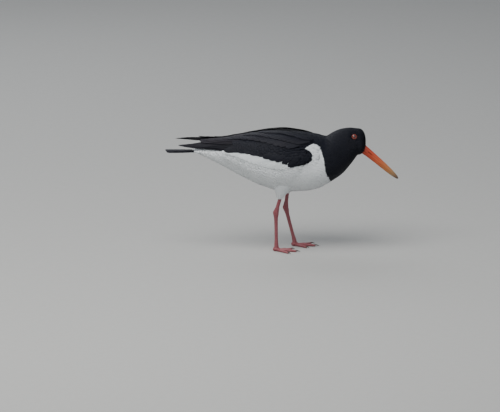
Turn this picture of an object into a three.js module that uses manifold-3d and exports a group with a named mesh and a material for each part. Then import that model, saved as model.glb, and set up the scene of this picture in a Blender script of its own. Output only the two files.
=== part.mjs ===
// An oystercatcher, life size, walking with its left foot forward and its bill lowered.
// Millimetres. +X points to the bill, +Y to the bird's left, +Z up. Both feet stand on z = 0.
import * as THREE from "three";
import { mergeVertices } from "three/addons/utils/BufferGeometryUtils.js";
import Module from "manifold-3d";

const wasm = await Module();
wasm.setup();

const SEAM = 0.3; // the gap between two pieces that touch
const LEFT = 1;
const RIGHT = -1;

// The body's outline: height of the back, of the widest place and of the belly, and half the width.
const BODY_STATIONS = [
  { at: -142, top: 162.8, wide: 161, bottom: 158.6, half: 5 },
  { at: -134, top: 165.4, wide: 160.6, bottom: 155.8, half: 11 },
  { at: -120, top: 168.5, wide: 159.5, bottom: 149.2, half: 15.5 },
  { at: -95, top: 173, wide: 157, bottom: 136.5, half: 22 },
  { at: -65, top: 180, wide: 154, bottom: 120, half: 31 },
  { at: -30, top: 188, wide: 150, bottom: 103.5, half: 40 },
  { at: 5, top: 192, wide: 147, bottom: 94.6, half: 44.5 },
  { at: 35, top: 190.5, wide: 143, bottom: 95.6, half: 45 },
  { at: 58, top: 187, wide: 140, bottom: 100, half: 42.5 },
  { at: 70, top: 184, wide: 139, bottom: 106, half: 38.5 },
  { at: 83, top: 191, wide: 142, bottom: 113.8, half: 32.5 },
  { at: 96, top: 196, wide: 152, bottom: 122.8, half: 26 },
  { at: 109, top: 197.6, wide: 163, bottom: 137.5, half: 21.5 },
  { at: 121, top: 196.4, wide: 171, bottom: 154, half: 18.3 },
];
// The forehead closes the body in a blunt round end.
const FOREHEAD = { from: 121, to: 134.2, centre: 174, bulge: 2.6, close: 2.2 };
const BODY_SIDES = 24;

// The surface that the folded wings' feathers lie on, from the shoulder to the wing tips.
const WING_STATIONS = [
  { at: -172, top: 178.5, wide: 167, bottom: 160, half: 9 },
  { at: -145, top: 180, wide: 165, bottom: 157, half: 13.5 },
  { at: -120, top: 181, wide: 162, bottom: 150, half: 20 },
  { at: -95, top: 182.5, wide: 159, bottom: 136, half: 27 },
  { at: -65, top: 187.3, wide: 154, bottom: 120, half: 36 },
  { at: -30, top: 193, wide: 150, bottom: 103, half: 44 },
  { at: 5, top: 196, wide: 147, bottom: 94, half: 48.5 },
  { at: 35, top: 193, wide: 143, bottom: 95, half: 48 },
  { at: 62, top: 187, wide: 140, bottom: 100, half: 43 },
];
// How far the wing's upper edge lies from the midline, and how high its lower edge lies.
const WING_UPPER_Y = [[-172, 3], [-120, 1.6], [-60, 2.5], [-20, 8], [20, 15], [55, 24]];
const WING_LOWER_Z = [[-170, 171.5], [-115, 168], [-75, 156.5], [-35, 141.5], [-8, 136.4], [13, 140], [48, 157]];
// The fleshy part of the folded wing, which all feathers are rooted in.
const WING_CORE = { front: 47, rear: -66, depth: 6, rim: 1.2, along: 12, across: 7 };
// The wing tips part: the left one is lifted, reaches further back and keeps closer to its upper edge.
const WING_TIPS = {
  [LEFT]: { lift: 5, shift: 0, gather: 0.5 },
  [RIGHT]: { lift: -1.5, shift: 4.5, gather: 1 },
};
const TIP_LIFT_ZONE = [85, 165];
const TIP_SHIFT_ZONE = [110, 160];
// The heights at which the black coverts end and the white ones show.
const WHITE_EDGE = [[-112, 168], [-91, 166.4], [-67, 165.8], [-45, 162.4], [-23, 157], [3, 148], [14, 142.5]];

// The feathers of a wing, tier by tier and lowest layer first. Roots and tips run from the first
// feather to the last one, as x and the share of the way from the wing's upper edge to its lower one.
// out is the height over the wing's surface at root and tip, layer the step from one to the next.
const WING_TIERS = [
  {
    name: "primaries",
    count: 6,
    roots: [[-48, 0.84], [-48, 0.5]],
    tips: [[-171, 0.82], [-121, 0.36]],
    half: [4.6, 5.6],
    out: [-3.4, -2.6],
    layer: 0.4,
    long: true,
  },
  {
    name: "secondaries",
    count: 5,
    roots: [[-42, 0.8], [-20, 0.8]],
    tips: [[-113, 0.86], [-66, 0.93]],
    half: [6, 6.4],
    out: [-1.2, -0.9],
    layer: 0.28,
  },
  {
    name: "greater coverts",
    count: 7,
    roots: [[-52, 0.62], [32, 0.86]],
    tips: [[-89, 0.82], [9, 0.96]],
    half: [6, 5.4],
    out: [-0.5, 0.6],
    tilt: 0.5,
    thick: 1.6,
  },
  {
    name: "median coverts",
    count: 7,
    roots: [[-42, 0.42], [40, 0.72]],
    tipsOnWhiteEdge: [-84, 16],
    half: [7, 6.4],
    out: [-0.3, 1],
    tilt: 0.5,
    thick: 2.6,
  },
  {
    name: "tertials",
    count: 4,
    roots: [[-28, 0.42], [-20, 0.16]],
    tips: [[-134, 0.3], [-92, 0.14]],
    half: [8, 7.6],
    out: [-1.4, 0.2],
    layer: 0.4,
    long: true,
  },
  {
    name: "scapulars",
    count: 7,
    roots: [[-34, 0.12], [42, 0.3]],
    tips: [[-84, 0.2], [12, 0.52]],
    half: [7.6, 7],
    out: [0, 1.5],
    tilt: 0.5,
    thick: 2.6,
  },
];
const VANE = { thick: 0.8, ridge: 0.25, tip: 0.35, vary: 0.04 };

// The seams between torso and neck, and neck and head, from the back down to the throat.
const NECK_SEAM = { top: [68, 184], bottom: [77, 110] };
const HEAD_SEAM = { top: [90, 194], bottom: [108, 138] };

// The bill: from its root inside the face to its tip, measured along the mouth line.
const BILL_BASE = [129.05, 162.3];
const BILL_DROP_DEG = 40;
const BILL_LENGTH = 74;
const BILL_ROOT = 9;
// Along the bill: height of the ridge above the mouth line, depth of the keel below it, half width.
const BILL_STATIONS = [
  { at: -9, ridge: 7.4, keel: 5.3, half: 4.8 },
  { at: 0, ridge: 8.3, keel: 5.7, half: 5.2 },
  { at: 10, ridge: 8.1, keel: 5, half: 4.4 },
  { at: 25, ridge: 7.4, keel: 4.3, half: 3.2 },
  { at: 40, ridge: 6.6, keel: 4, half: 2.5 },
  { at: 52, ridge: 5.7, keel: 3.7, half: 2 },
  { at: 63, ridge: 4.3, keel: 3, half: 1.6 },
  { at: 71, ridge: 2.5, keel: 1.9, half: 1.2 },
  { at: 74, ridge: 1.2, keel: 1, half: 0.9 },
];
const BILL_RINGS = 14;
const MOUTH_GAP = 0.35;
const NOSTRIL = { at: 13, above: 3, long: 9, high: 1.7, deep: 1.5 };

const EYE = { x: 115.6, z: 186, radius: 4.8, sunk: 2.7 };
const LID = { ring: 4.5, thick: 1.1 };

// The legs: hip inside the body, end of the feathered thigh, ankle joint, and foot.
const LEGS = {
  right: {
    side: RIGHT,
    hip: [5, -20, 122],
    cuff: [-2.2, -19, 88],
    ankle: [-9.4, -18, 63.5],
    foot: [-8.6, -17, 6.5],
    heading: -16,
  },
  left: {
    side: LEFT,
    hip: [17, 20, 122],
    cuff: [9.4, 20.5, 89.5],
    ankle: [6.2, 21, 63.5],
    foot: [21, 22, 6.5],
    heading: -9,
  },
};
const LEG_SIDES = 10;
const TOES = [
  { name: "inner", splay: 34, long: 26, half: 2.6, claw: 6 },
  { name: "middle", splay: 0, long: 33, half: 2.8, claw: 7 },
  { name: "outer", splay: -33, long: 29, half: 2.6, claw: 6 },
];
const FOOT_PAD = { long: 6.2, half: 4.8, high: 8.5 };

// The tail: a shallow roof of overlapping feathers on a root that goes into the torso.
const TAIL = { root: -98, end: -186.5, height: 161.6, rootHalf: 9, endHalf: 15, roof: 1.6 };
const TAIL_ROOT = { rear: -136, thick: 2.6 };
const RECTRICES = { pairs: 6, from: -118, half: 4.6, shorter: 0.7, layer: 0.3, thick: 0.9 };

const SKIN = { color: 0x14151a, roughness: 0.7, metalness: 0 };
const MATERIALS = {
  black: new THREE.MeshStandardMaterial(SKIN),
  white: new THREE.MeshStandardMaterial({ color: 0xc9cdcb, roughness: 0.8, metalness: 0 }),
  bill: new THREE.MeshStandardMaterial({ color: 0xd9502c, roughness: 0.4, metalness: 0 }),
  leg: new THREE.MeshStandardMaterial({ color: 0xa4626c, roughness: 0.55, metalness: 0 }),
  claw: new THREE.MeshStandardMaterial({ color: 0x2b2426, roughness: 0.45, metalness: 0 }),
  eye: new THREE.MeshStandardMaterial({ color: 0xa3241a, roughness: 0.1, metalness: 0 }),
};

const { clamp, degToRad, lerp, smoothstep } = THREE.MathUtils;
const vec = (x, y, z) => new THREE.Vector3(x, y, z);
const between = (a, b, t) => a.map((value, i) => lerp(value, b[i], t));
const steps = (from, to, count) => Array.from({ length: count + 1 }, (_, i) => lerp(from, to, i / count));

/** A smooth curve through points in order of x, which never swings past them. */
function smoothCurve(points) {
  const xs = points.map(([x]) => x);
  const ys = points.map(([, y]) => y);
  const last = xs.length - 1;
  const widths = xs.slice(1).map((x, i) => x - xs[i]);
  const slopes = widths.map((width, i) => (ys[i + 1] - ys[i]) / width);
  const tangents = ys.map((_, i) => {
    if (i === 0) return slopes[0];
    if (i === last) return slopes[last - 1];
    if (slopes[i - 1] * slopes[i] <= 0) return 0;
    const before = 2 * widths[i] + widths[i - 1];
    const after = widths[i] + 2 * widths[i - 1];
    return (before + after) / (before / slopes[i - 1] + after / slopes[i]);
  });
  return (x) => {
    const held = clamp(x, xs[0], xs[last]);
    const i = clamp(xs.findIndex((end) => end >= held) - 1, 0, last - 1);
    const t = (held - xs[i]) / widths[i];
    const rise = (3 - 2 * t) * t * t;
    const bend = (1 - t) * t * widths[i];
    return lerp(ys[i], ys[i + 1], rise) + bend * ((1 - t) * tangents[i] - t * tangents[i + 1]);
  };
}

/** Random numbers from 0 to 1, the same ones on every run. */
function seeded(seed) {
  let state = seed;
  return () => {
    state = (state * 1664525 + 1013904223) % 4294967296;
    return state / 4294967296;
  };
}

/** One smooth curve for each column of a table of stations. */
function curvesOf(stations) {
  const columns = Object.keys(stations[0]).filter((name) => name !== "at");
  return Object.fromEntries(
    columns.map((name) => [name, smoothCurve(stations.map((station) => [station.at, station[name]]))]),
  );
}

/** A surface round the X axis whose egg-shaped sections come from a table of stations. */
class Former {
  constructor(stations, blunt) {
    this.curves = curvesOf(stations);
    this.blunt = blunt;
  }

  /** The section at x: heights of its top, widest place and bottom, and half its width. */
  section(x) {
    const { top, wide, bottom, half } = this.curves;
    const made = { top: top(x), wide: wide(x), bottom: bottom(x), half: half(x) };
    if (!this.blunt || x <= this.blunt.from) return made;
    const { from, to, centre, bulge, close } = this.blunt;
    const share = (1 - clamp((x - from) / (to - from), 0, 1) ** bulge) ** (1 / close);
    const drawIn = (height) => centre + (height - centre) * share;
    return {
      top: drawIn(made.top),
      wide: drawIn(made.wide),
      bottom: drawIn(made.bottom),
      half: made.half * share,
    };
  }

  /** The point at x, at an angle from the top (0) past the side to the bottom (pi). */
  onSurface(x, angle, side) {
    const { top, wide, bottom, half } = this.section(x);
    const reach = Math.cos(angle) > 0 ? top - wide : wide - bottom;
    return vec(x, side * half * Math.sin(angle), wide + reach * Math.cos(angle));
  }

  /** The outward direction of the surface there. */
  normal(x, angle, side) {
    const along = this.onSurface(x + 0.4, angle, side).sub(this.onSurface(x - 0.4, angle, side));
    const round = this.onSurface(x, angle + 0.02, side).sub(this.onSurface(x, angle - 0.02, side));
    return along.cross(round).multiplyScalar(side).normalize();
  }

  /** The point that stands out from the surface by a height. */
  point(x, angle, side, out = 0) {
    const base = this.onSurface(x, angle, side);
    return out ? base.addScaledVector(this.normal(x, angle, side), out) : base;
  }

  /** The angle from the top at which the surface has a height. */
  angleAt(x, z) {
    const { top, wide, bottom } = this.section(x);
    const reach = z > wide ? top - wide : wide - bottom;
    return Math.acos(clamp((z - wide) / reach, -1, 1));
  }

  /** A closed body with one ring at each x, grown outwards by a height. */
  body(xs, sides, out = 0) {
    return ringBody(
      xs.map((x) =>
        steps(0, 2 * Math.PI, sides)
          .slice(0, sides)
          .map((turn) => this.point(x, Math.min(turn, 2 * Math.PI - turn), turn <= Math.PI ? LEFT : RIGHT, out)),
      ),
    );
  }
}

/** The signed volume inside a triangle mesh. */
function volumeInside(points, index) {
  let sum = 0;
  for (let i = 0; i < index.length; i += 3) {
    const [a, b, c] = [points[index[i]], points[index[i + 1]], points[index[i + 2]]];
    sum += a.dot(b.clone().cross(c)) / 6;
  }
  return sum;
}

/** A closed geometry through rings of equally many points, with a flat fan over each end ring. */
function ringBody(rings, turnedColumns = []) {
  const count = rings[0].length;
  const points = rings.flat();
  const middle = (ring) => ring.reduce((sum, p) => sum.add(p), vec(0, 0, 0)).divideScalar(count);
  const firstHub = points.length;
  const lastRing = firstHub - count;
  const index = [];
  for (let start = 0; start < lastRing; start += count) {
    for (let j = 0; j < count; j++) {
      const a = start + j;
      const b = start + ((j + 1) % count);
      const [c, d] = [b + count, a + count];
      index.push(...(turnedColumns.includes(j) ? [a, b, d, b, c, d] : [a, b, c, a, c, d]));
    }
  }
  for (let j = 0; j < count; j++) {
    const next = (j + 1) % count;
    index.push(firstHub, next, j, firstHub + 1, lastRing + j, lastRing + next);
  }
  points.push(middle(rings[0]), middle(rings.at(-1)));
  if (volumeInside(points, index) < 0) index.reverse();
  const geometry = new THREE.BufferGeometry().setFromPoints(points);
  geometry.setIndex(index);
  return geometry;
}

/** A closed geometry as a solid that can be joined and cut. */
function solidOf(geometry) {
  const bare = geometry.clone();
  bare.deleteAttribute("normal");
  bare.deleteAttribute("uv");
  const merged = mergeVertices(bare, 1e-4);
  const vertProperties = new Float32Array(merged.attributes.position.array);
  const triVerts = new Uint32Array(merged.index.array);
  return new wasm.Manifold(new wasm.Mesh({ numProp: 3, vertProperties, triVerts }));
}

/** The largest closed body of a solid, without slivers. */
function largest(solid, finest = 0.01) {
  const bodies = solid.simplify(finest).decompose();
  return bodies.sort((a, b) => b.volume() - a.volume())[0];
}

const joined = (solids) => wasm.Manifold.union(solids);

/** A round solid, such as an eye or a pad, with a radius along each axis. */
function ball(centre, [rx, ry, rz], across = 18, down = 12) {
  const geometry = new THREE.SphereGeometry(1, across, down);
  geometry.scale(rx, ry, rz);
  geometry.translate(...centre);
  return solidOf(geometry);
}

/** A limb through stations, each a point with a radius fore and aft and one to the side. */
function limb(stations, sides, out = 0, flat = false) {
  const points = stations.map(({ point }) => vec(...point));
  points[0].addScaledVector(points[0].clone().sub(points[1]).normalize(), out);
  points.at(-1).addScaledVector(points.at(-1).clone().sub(points.at(-2)).normalize(), out);
  const rings = stations.map(({ fore, wide }, i) => {
    const before = points[Math.max(i - 1, 0)];
    const after = points[Math.min(i + 1, points.length - 1)];
    const along = after.clone().sub(before).normalize();
    const across = flat ? vec(0, 0, 1).cross(along).normalize() : vec(0, 1, 0);
    const lift = along.clone().cross(across).normalize();
    return steps(0, 2 * Math.PI, sides)
      .slice(0, sides)
      .map((turn) =>
        points[i]
          .clone()
          .addScaledVector(across, (wide + out) * Math.cos(turn))
          .addScaledVector(lift, (fore + out) * Math.sin(turn)),
      );
  });
  return solidOf(ringBody(rings));
}

/** The two sides of a slanted seam across the body, each drawn back by half the gap. */
function cutAt(solid, { top, bottom }) {
  const along = vec(bottom[0] - top[0], 0, bottom[1] - top[1]).normalize();
  const forward = vec(-along.z, 0, along.x);
  const offset = forward.dot(vec(top[0], 0, top[1]));
  const front = solid.trimByPlane(forward.toArray(), offset + SEAM / 2);
  const back = solid.trimByPlane(forward.clone().negate().toArray(), -offset + SEAM / 2);
  return { front, back };
}

const body = new Former(BODY_STATIONS, FOREHEAD);

/** Where the body's rings stand: evenly along the trunk, and close together on the forehead. */
function bodyRings() {
  const trunk = steps(BODY_STATIONS[0].at, FOREHEAD.from, 32);
  const reach = FOREHEAD.to - FOREHEAD.from;
  const round = [25, 45, 62, 76, 86].map((turn) => FOREHEAD.from + reach * Math.sin(degToRad(turn)));
  return [...trunk, ...round];
}

/** The whole body from the tail coverts to the forehead, grown outwards by a gap. */
const bodySolid = (out = 0) => solidOf(body.body(bodyRings(), BODY_SIDES, out));

/** A point on the bill's long section: along it, above the mouth line and to the side. */
function billPoint(along, above, side) {
  const drop = degToRad(BILL_DROP_DEG);
  const [x, z] = BILL_BASE;
  return vec(
    x + along * Math.cos(drop) + above * Math.sin(drop),
    side,
    z - along * Math.sin(drop) + above * Math.cos(drop),
  );
}

/** One mandible: the upper one domes up from the mouth line, the lower one hangs from it. */
function mandible(upper, out = 0) {
  const curves = curvesOf(BILL_STATIONS);
  const sign = upper ? 1 : -1;
  const foot = MOUTH_GAP / 2 - out;
  const rings = steps(-BILL_ROOT, BILL_LENGTH, BILL_RINGS).map((along, i) => {
    const crest = (upper ? curves.ridge : curves.keel)(along) + out;
    const half = curves.half(along) + out;
    return steps(0, Math.PI, 8).map((turn) => {
      const above = sign * lerp(foot, crest, Math.sin(turn) ** 0.8);
      return billPoint(i ? along : along - out, above, half * Math.cos(turn));
    });
  });
  return solidOf(ringBody(rings));
}

/** The upper mandible, with a slit nostril in a groove on each side. */
function upperMandible() {
  const slits = [LEFT, RIGHT].map((side) => {
    const half = curvesOf(BILL_STATIONS).half(NOSTRIL.at);
    const geometry = new THREE.SphereGeometry(1, 10, 6);
    geometry.scale(NOSTRIL.long / 2, NOSTRIL.deep, NOSTRIL.high / 2);
    geometry.rotateY(degToRad(BILL_DROP_DEG));
    geometry.translate(...billPoint(NOSTRIL.at, NOSTRIL.above, side * half * 0.93).toArray());
    return solidOf(geometry);
  });
  return mandible(true).subtract(joined(slits));
}

/** The middle of an eyeball and the direction that it looks in. */
function eyeSeat(side) {
  const angle = body.angleAt(EYE.x, EYE.z);
  const outward = body.normal(EYE.x, angle, side);
  return { centre: body.point(EYE.x, angle, side, -EYE.sunk), outward };
}

/** The ring of bare lid round an eye. */
function lid(side) {
  const { centre, outward } = eyeSeat(side);
  const geometry = new THREE.TorusGeometry(LID.ring, LID.thick, 6, 18);
  geometry.applyQuaternion(new THREE.Quaternion().setFromUnitVectors(vec(0, 0, 1), outward));
  geometry.translate(...centre.addScaledVector(outward, EYE.sunk - 0.5).toArray());
  return solidOf(geometry);
}

const eyeball = (side, out = 0) => {
  const radius = EYE.radius + out;
  return ball(eyeSeat(side).centre.toArray(), [radius, radius, radius], 14, 9);
};

/** The folded wing's surface, which the feathers of one side lie on. */
class WingSheet {
  constructor(side) {
    this.side = side;
    this.former = new Former(WING_STATIONS);
    this.upperY = smoothCurve(WING_UPPER_Y);
    this.lowerZ = smoothCurve(WING_LOWER_Z);
    this.whiteZ = smoothCurve(WHITE_EDGE);
  }

  /** The angles of the wing's upper and lower edges at x. */
  edges(x) {
    const { half } = this.former.section(x);
    return {
      upper: Math.asin(clamp(this.upperY(x) / half, 0, 1)),
      lower: this.former.angleAt(x, this.lowerZ(x)),
    };
  }

  /** The point at x and a share of the way from the upper edge (0) to the lower edge (1). */
  point(x, share, out = 0) {
    const { upper, lower } = this.edges(x);
    const made = this.former.point(x, lerp(upper, lower, share), this.side, out);
    made.z += WING_TIPS[this.side].lift * smoothstep(-x, ...TIP_LIFT_ZONE);
    return made;
  }

  /** How far it is over the surface from the upper edge to the lower one. */
  span(x) {
    const points = steps(0, 1, 6).map((share) => this.point(x, share));
    return points.slice(1).reduce((sum, p, i) => sum + p.distanceTo(points[i]), 0);
  }

  /** The place where the black feathers end at x. */
  whiteEdge(x) {
    const { upper, lower } = this.edges(x);
    return [x, (this.former.angleAt(x, this.whiteZ(x)) - upper) / (lower - upper)];
  }
}

/** A feather's vane on a sheet: a thin blade with a rounded tip, and a raised shaft if it is long. */
function vane(sheet, { root, tip, half, out, tilt = 0, thick = VANE.thick, long = false }) {
  const widest = long ? 0.82 : 0.55;
  const places = long ? [0, 0.4, 0.82, 0.94, 1] : [0, 0.55, 0.85, 1];
  const columns = long ? [-1, 0, 1] : [-1, 1];
  const backColumns = long ? [3, 4] : [2];
  const rings = places.map((t) => {
    const [x, share] = between(root, tip, t);
    const height = lerp(...out, t);
    const rounded = Math.sqrt(Math.max(1 - ((t - widest) / (1 - widest)) ** 2, 0));
    const taper = t < widest ? lerp(0.75, 1, t / widest) : rounded;
    const reach = Math.max(half * taper, VANE.tip) / sheet.span(x);
    const face = columns.map((c) => [share + c * reach, height + c * tilt + (c ? 0 : VANE.ridge)]);
    const back = columns.map((c) => [share - c * reach, height - c * tilt - thick]);
    return [...face, ...back].map(([across, rise]) => sheet.point(x, across, rise));
  });
  return solidOf(ringBody(rings, backColumns));
}

/** The feathers of one tier of a wing. */
function tierOf(sheet, tier, random) {
  const vary = () => (random() - 0.5) * 2 * VANE.vary;
  const last = tier.count - 1;
  return Array.from({ length: tier.count }, (_, i) => {
    const t = i / last;
    const root = between(...tier.roots, t);
    const tip = tier.tipsOnWhiteEdge
      ? sheet.whiteEdge(lerp(...tier.tipsOnWhiteEdge, t))
      : between(...tier.tips, clamp(t + vary() / last, 0, 1));
    const { shift, gather } = WING_TIPS[sheet.side];
    const parted = smoothstep(-tip[0], ...TIP_SHIFT_ZONE);
    const lift = (tier.layer ?? 0) * i + vary();
    return vane(sheet, {
      root,
      tip: [tip[0] + shift * parted, tip[1] * lerp(1, gather, parted) + vary() * 0.3],
      half: lerp(...tier.half, t) * (1 + vary()),
      out: tier.out.map((height) => height + lift),
      tilt: tier.tilt,
      thick: tier.thick,
      long: tier.long,
    });
  });
}

/** The slab of wing that the feathers are rooted in, thinner towards its rim. */
function wingCore(sheet) {
  const { front, rear, depth, rim, along, across } = WING_CORE;
  const rings = steps(front, rear, along).map((x, i) => {
    const atEnd = i === 0 || i === along;
    const outer = steps(0, 1, across).map((share) => {
      const atRim = atEnd || share === 0 || share === 1;
      return sheet.point(x, share, atRim ? -rim : 0);
    });
    const inner = steps(1, 0, across).map((share) => sheet.point(x, share, -depth));
    return [...outer, ...inner];
  });
  return solidOf(ringBody(rings));
}

/** A folded wing with its feathers, lying on the torso. */
function wing(side) {
  const sheet = new WingSheet(side);
  const random = seeded(41 + side);
  const feathers = WING_TIERS.flatMap((tier) => tierOf(sheet, tier, random));
  const whole = joined([wingCore(sheet), ...feathers]);
  const ownSide = whole.trimByPlane([0, side, 0], SEAM / 2);
  return largest(ownSide.subtract(bodySolid(SEAM)), 0.02);
}

/** The tail's surface: nearly flat, widening towards its end, and lower at its sides. */
const tailSheet = {
  half: (x) => lerp(TAIL.rootHalf, TAIL.endHalf, (x - TAIL.root) / (TAIL.end - TAIL.root)),
  span: (x) => 2 * tailSheet.half(x),
  point(x, share, out = 0) {
    const across = (share - 0.5) * 2;
    return vec(x, across * this.half(x), TAIL.height - TAIL.roof * across * across + out);
  },
};

/** A slab of the tail round its sheet, between two heights. */
function tailSlab(front, rear, low, high, wider = 0) {
  const rings = steps(front, rear, 4).map((x) => {
    const reach = 0.5 + wider / tailSheet.span(x);
    const upper = steps(0.5 - reach, 0.5 + reach, 6).map((share) => tailSheet.point(x, share, high));
    const under = steps(0.5 + reach, 0.5 - reach, 6).map((share) => tailSheet.point(x, share, low));
    return [...upper, ...under];
  });
  return solidOf(ringBody(rings));
}

/** The tail feathers, the middle pair on top and each pair beside it a step lower. */
function rectrices() {
  const { pairs, from, half, shorter, layer, thick } = RECTRICES;
  return [LEFT, RIGHT].flatMap((side) =>
    Array.from({ length: pairs }, (_, rank) => {
      const place = (x) => {
        const inner = half * 0.35;
        const outer = tailSheet.half(x) - half;
        return 0.5 + (side * lerp(inner, outer, rank / (pairs - 1))) / tailSheet.span(x);
      };
      const end = TAIL.end + shorter * rank * (1 + 0.2 * side);
      const height = -layer * (rank + (side === RIGHT ? 0.5 : 0));
      return vane(tailSheet, {
        root: [from, place(from)],
        tip: [end, place(end)],
        half,
        out: [height, height],
        thick,
        long: true,
      });
    }),
  );
}

const tailDepth = RECTRICES.layer * RECTRICES.pairs + RECTRICES.thick;

/** The folded tail on the root that goes into the torso. */
function tail() {
  const root = tailSlab(TAIL.root, TAIL_ROOT.rear, -TAIL_ROOT.thick, -0.1);
  return largest(joined([root, ...rectrices()]));
}

/** The slot in the torso that the tail goes into, with the gap all round it. */
function tailSlot() {
  const low = -Math.max(TAIL_ROOT.thick, tailDepth) - SEAM;
  return tailSlab(TAIL.root + SEAM, TAIL.end, low, VANE.ridge + SEAM, SEAM);
}

/** The stations of a leg from inside the thigh to the foot, with the swollen ankle. */
function legStations({ cuff, ankle, foot }) {
  const inside = between(cuff, ankle, -0.3);
  return [
    { point: inside, fore: 3.2, wide: 3.2 },
    { point: cuff, fore: 3.1, wide: 3.1 },
    { point: between(cuff, ankle, 0.55), fore: 3, wide: 2.8 },
    { point: between(cuff, ankle, 0.85), fore: 4.1, wide: 3.5 },
    { point: ankle, fore: 4.7, wide: 4 },
    { point: between(ankle, foot, 0.07), fore: 4.4, wide: 3.9 },
    { point: between(ankle, foot, 0.17), fore: 3.3, wide: 2.9 },
    { point: between(ankle, foot, 0.4), fore: 2.9, wide: 2.5 },
    { point: between(ankle, foot, 0.75), fore: 2.8, wide: 2.5 },
    { point: between(ankle, foot, 0.92), fore: 3.4, wide: 3.3 },
    { point: foot, fore: 3.8, wide: 4 },
  ];
}

/** The feathered thigh, from inside the body to the cuff round the bare leg. */
function thigh({ hip, cuff, ankle }) {
  return limb(
    [
      { point: hip, fore: 17, wide: 14 },
      { point: between(hip, cuff, 0.5), fore: 14, wide: 11.5 },
      { point: between(hip, cuff, 0.8), fore: 9, wide: 8 },
      { point: cuff, fore: 5.4, wide: 5.2 },
      { point: between(cuff, ankle, 0.12), fore: 4, wide: 4 },
    ],
    14,
  );
}

const above = (solid, z) => solid.trimByPlane([0, 0, 1], z);
const below = (solid, z) => solid.trimByPlane([0, 0, -1], -z);

/** The round pad that a foot's toes grow from. */
function footPad({ foot }, out = 0) {
  const { long, half, high } = FOOT_PAD;
  return ball([foot[0], foot[1], high * 0.36], [long + out, half + out, high * 0.5 + out], 12, 7);
}

/** The direction of a toe over the floor. */
function toeDirection({ heading, side }, { splay }) {
  const turn = degToRad(heading - side * splay);
  return vec(Math.cos(turn), Math.sin(turn), 0);
}

/** A toe with scutes across its top, from the pad to the root of its claw. */
function toe(leg, plan, out = 0) {
  const along = toeDirection(leg, plan);
  const [x, y] = leg.foot;
  const stations = steps(0, 1, 9).map((t, i) => {
    const swell = 1 + 0.1 * Math.sin(t * Math.PI * 3) ** 2 + (i % 2 ? 0.05 : -0.03);
    const half = plan.half * lerp(1.05, 0.72, t) * swell;
    const high = half * 0.82;
    return {
      point: [x + along.x * plan.long * t, y + along.y * plan.long * t, high * 0.86],
      fore: high,
      wide: half,
    };
  });
  return above(limb(stations, 8, out, true), 0);
}

/** A curved claw at the end of a toe. */
function claw(leg, plan) {
  const along = toeDirection(leg, plan);
  const [x, y] = leg.foot;
  const stations = steps(0, 1, 4).map((t) => {
    const reach = plan.long - 2 + (plan.claw + 2) * t;
    return {
      point: [x + along.x * reach, y + along.y * reach, 1.9 + 1.1 * Math.sin(t * 2.2) - 1.9 * t * t],
      fore: lerp(1.3, 0.35, t),
      wide: lerp(1.2, 0.35, t),
    };
  });
  return above(limb(stations, 6, 0, true), 0.05);
}

/** The solids of one leg, by node name. */
function legSolids(name, leg) {
  const ankle = leg.ankle[2];
  const bare = limb(legStations(leg), LEG_SIDES);
  const bareGrown = limb(legStations(leg), LEG_SIDES, SEAM);
  const pad = footPad(leg);
  const tarsus = above(below(bare, ankle - SEAM / 2).add(pad), 0);
  const made = {
    [`leg_${name}_thigh`]: [largest(thigh(leg).subtract(bodySolid(SEAM)).subtract(bareGrown)), "white"],
    [`leg_${name}_shank`]: [largest(above(bare, ankle + SEAM / 2)), "leg"],
    [`leg_${name}_tarsus`]: [largest(tarsus), "leg"],
  };
  const root = below(bareGrown, ankle).add(footPad(leg, SEAM));
  const order = [1, 0, 2].map((i) => TOES[i]);
  order.forEach((plan, i) => {
    const taken = joined([root, ...order.slice(0, i).map((other) => toe(leg, other, SEAM))]);
    made[`toe_${name}_${plan.name}`] = [largest(toe(leg, plan).subtract(taken)), "leg"];
    made[`claw_${name}_${plan.name}`] = [largest(claw(leg, plan).subtract(toe(leg, plan, SEAM))), "claw"];
  });
  return made;
}

/** Every solid of the bird, by node name, with the name of its material. */
function birdSolids() {
  const whole = bodySolid();
  const { front, back } = cutAt(whole, NECK_SEAM);
  const parted = cutAt(front, HEAD_SEAM);
  const billRoot = joined([mandible(true, SEAM), mandible(false, SEAM)]);
  const eyes = joined([eyeball(LEFT, SEAM), eyeball(RIGHT, SEAM)]);
  const head = parted.front.add(lid(LEFT)).add(lid(RIGHT)).subtract(eyes).subtract(billRoot);
  return {
    torso: [largest(back.subtract(tailSlot())), "white"],
    neck: [largest(parted.back), "black"],
    head: [largest(head), "black"],
    bill_upper: [largest(upperMandible()), "bill"],
    bill_lower: [largest(mandible(false)), "bill"],
    eye_left: [eyeball(LEFT), "eye"],
    eye_right: [eyeball(RIGHT), "eye"],
    wing_left: [wing(LEFT), "black"],
    wing_right: [wing(RIGHT), "black"],
    tail: [tail(), "black"],
    ...legSolids("left", LEGS.left),
    ...legSolids("right", LEGS.right),
  };
}

/** A solid as a named mesh. */
function meshOf(name, solid, material) {
  const { vertProperties, triVerts } = solid.getMesh();
  const geometry = new THREE.BufferGeometry();
  geometry.setAttribute("position", new THREE.BufferAttribute(new Float32Array(vertProperties), 3));
  geometry.setIndex(new THREE.BufferAttribute(new Uint32Array(triVerts), 1));
  geometry.computeVertexNormals();
  const mesh = new THREE.Mesh(geometry, material);
  mesh.name = name;
  return mesh;
}

const oystercatcher = new THREE.Group();
for (const [name, [solid, finish]] of Object.entries(birdSolids())) {
  oystercatcher.add(meshOf(name, solid, MATERIALS[finish]));
}

export default oystercatcher;
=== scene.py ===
"""An oystercatcher, life size and still: skin, feathers, bill, eyes and legs round its solids."""

import logging
import math
from abc import ABC, abstractmethod
from collections.abc import Callable
from dataclasses import dataclass, field, replace
from enum import Enum

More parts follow.
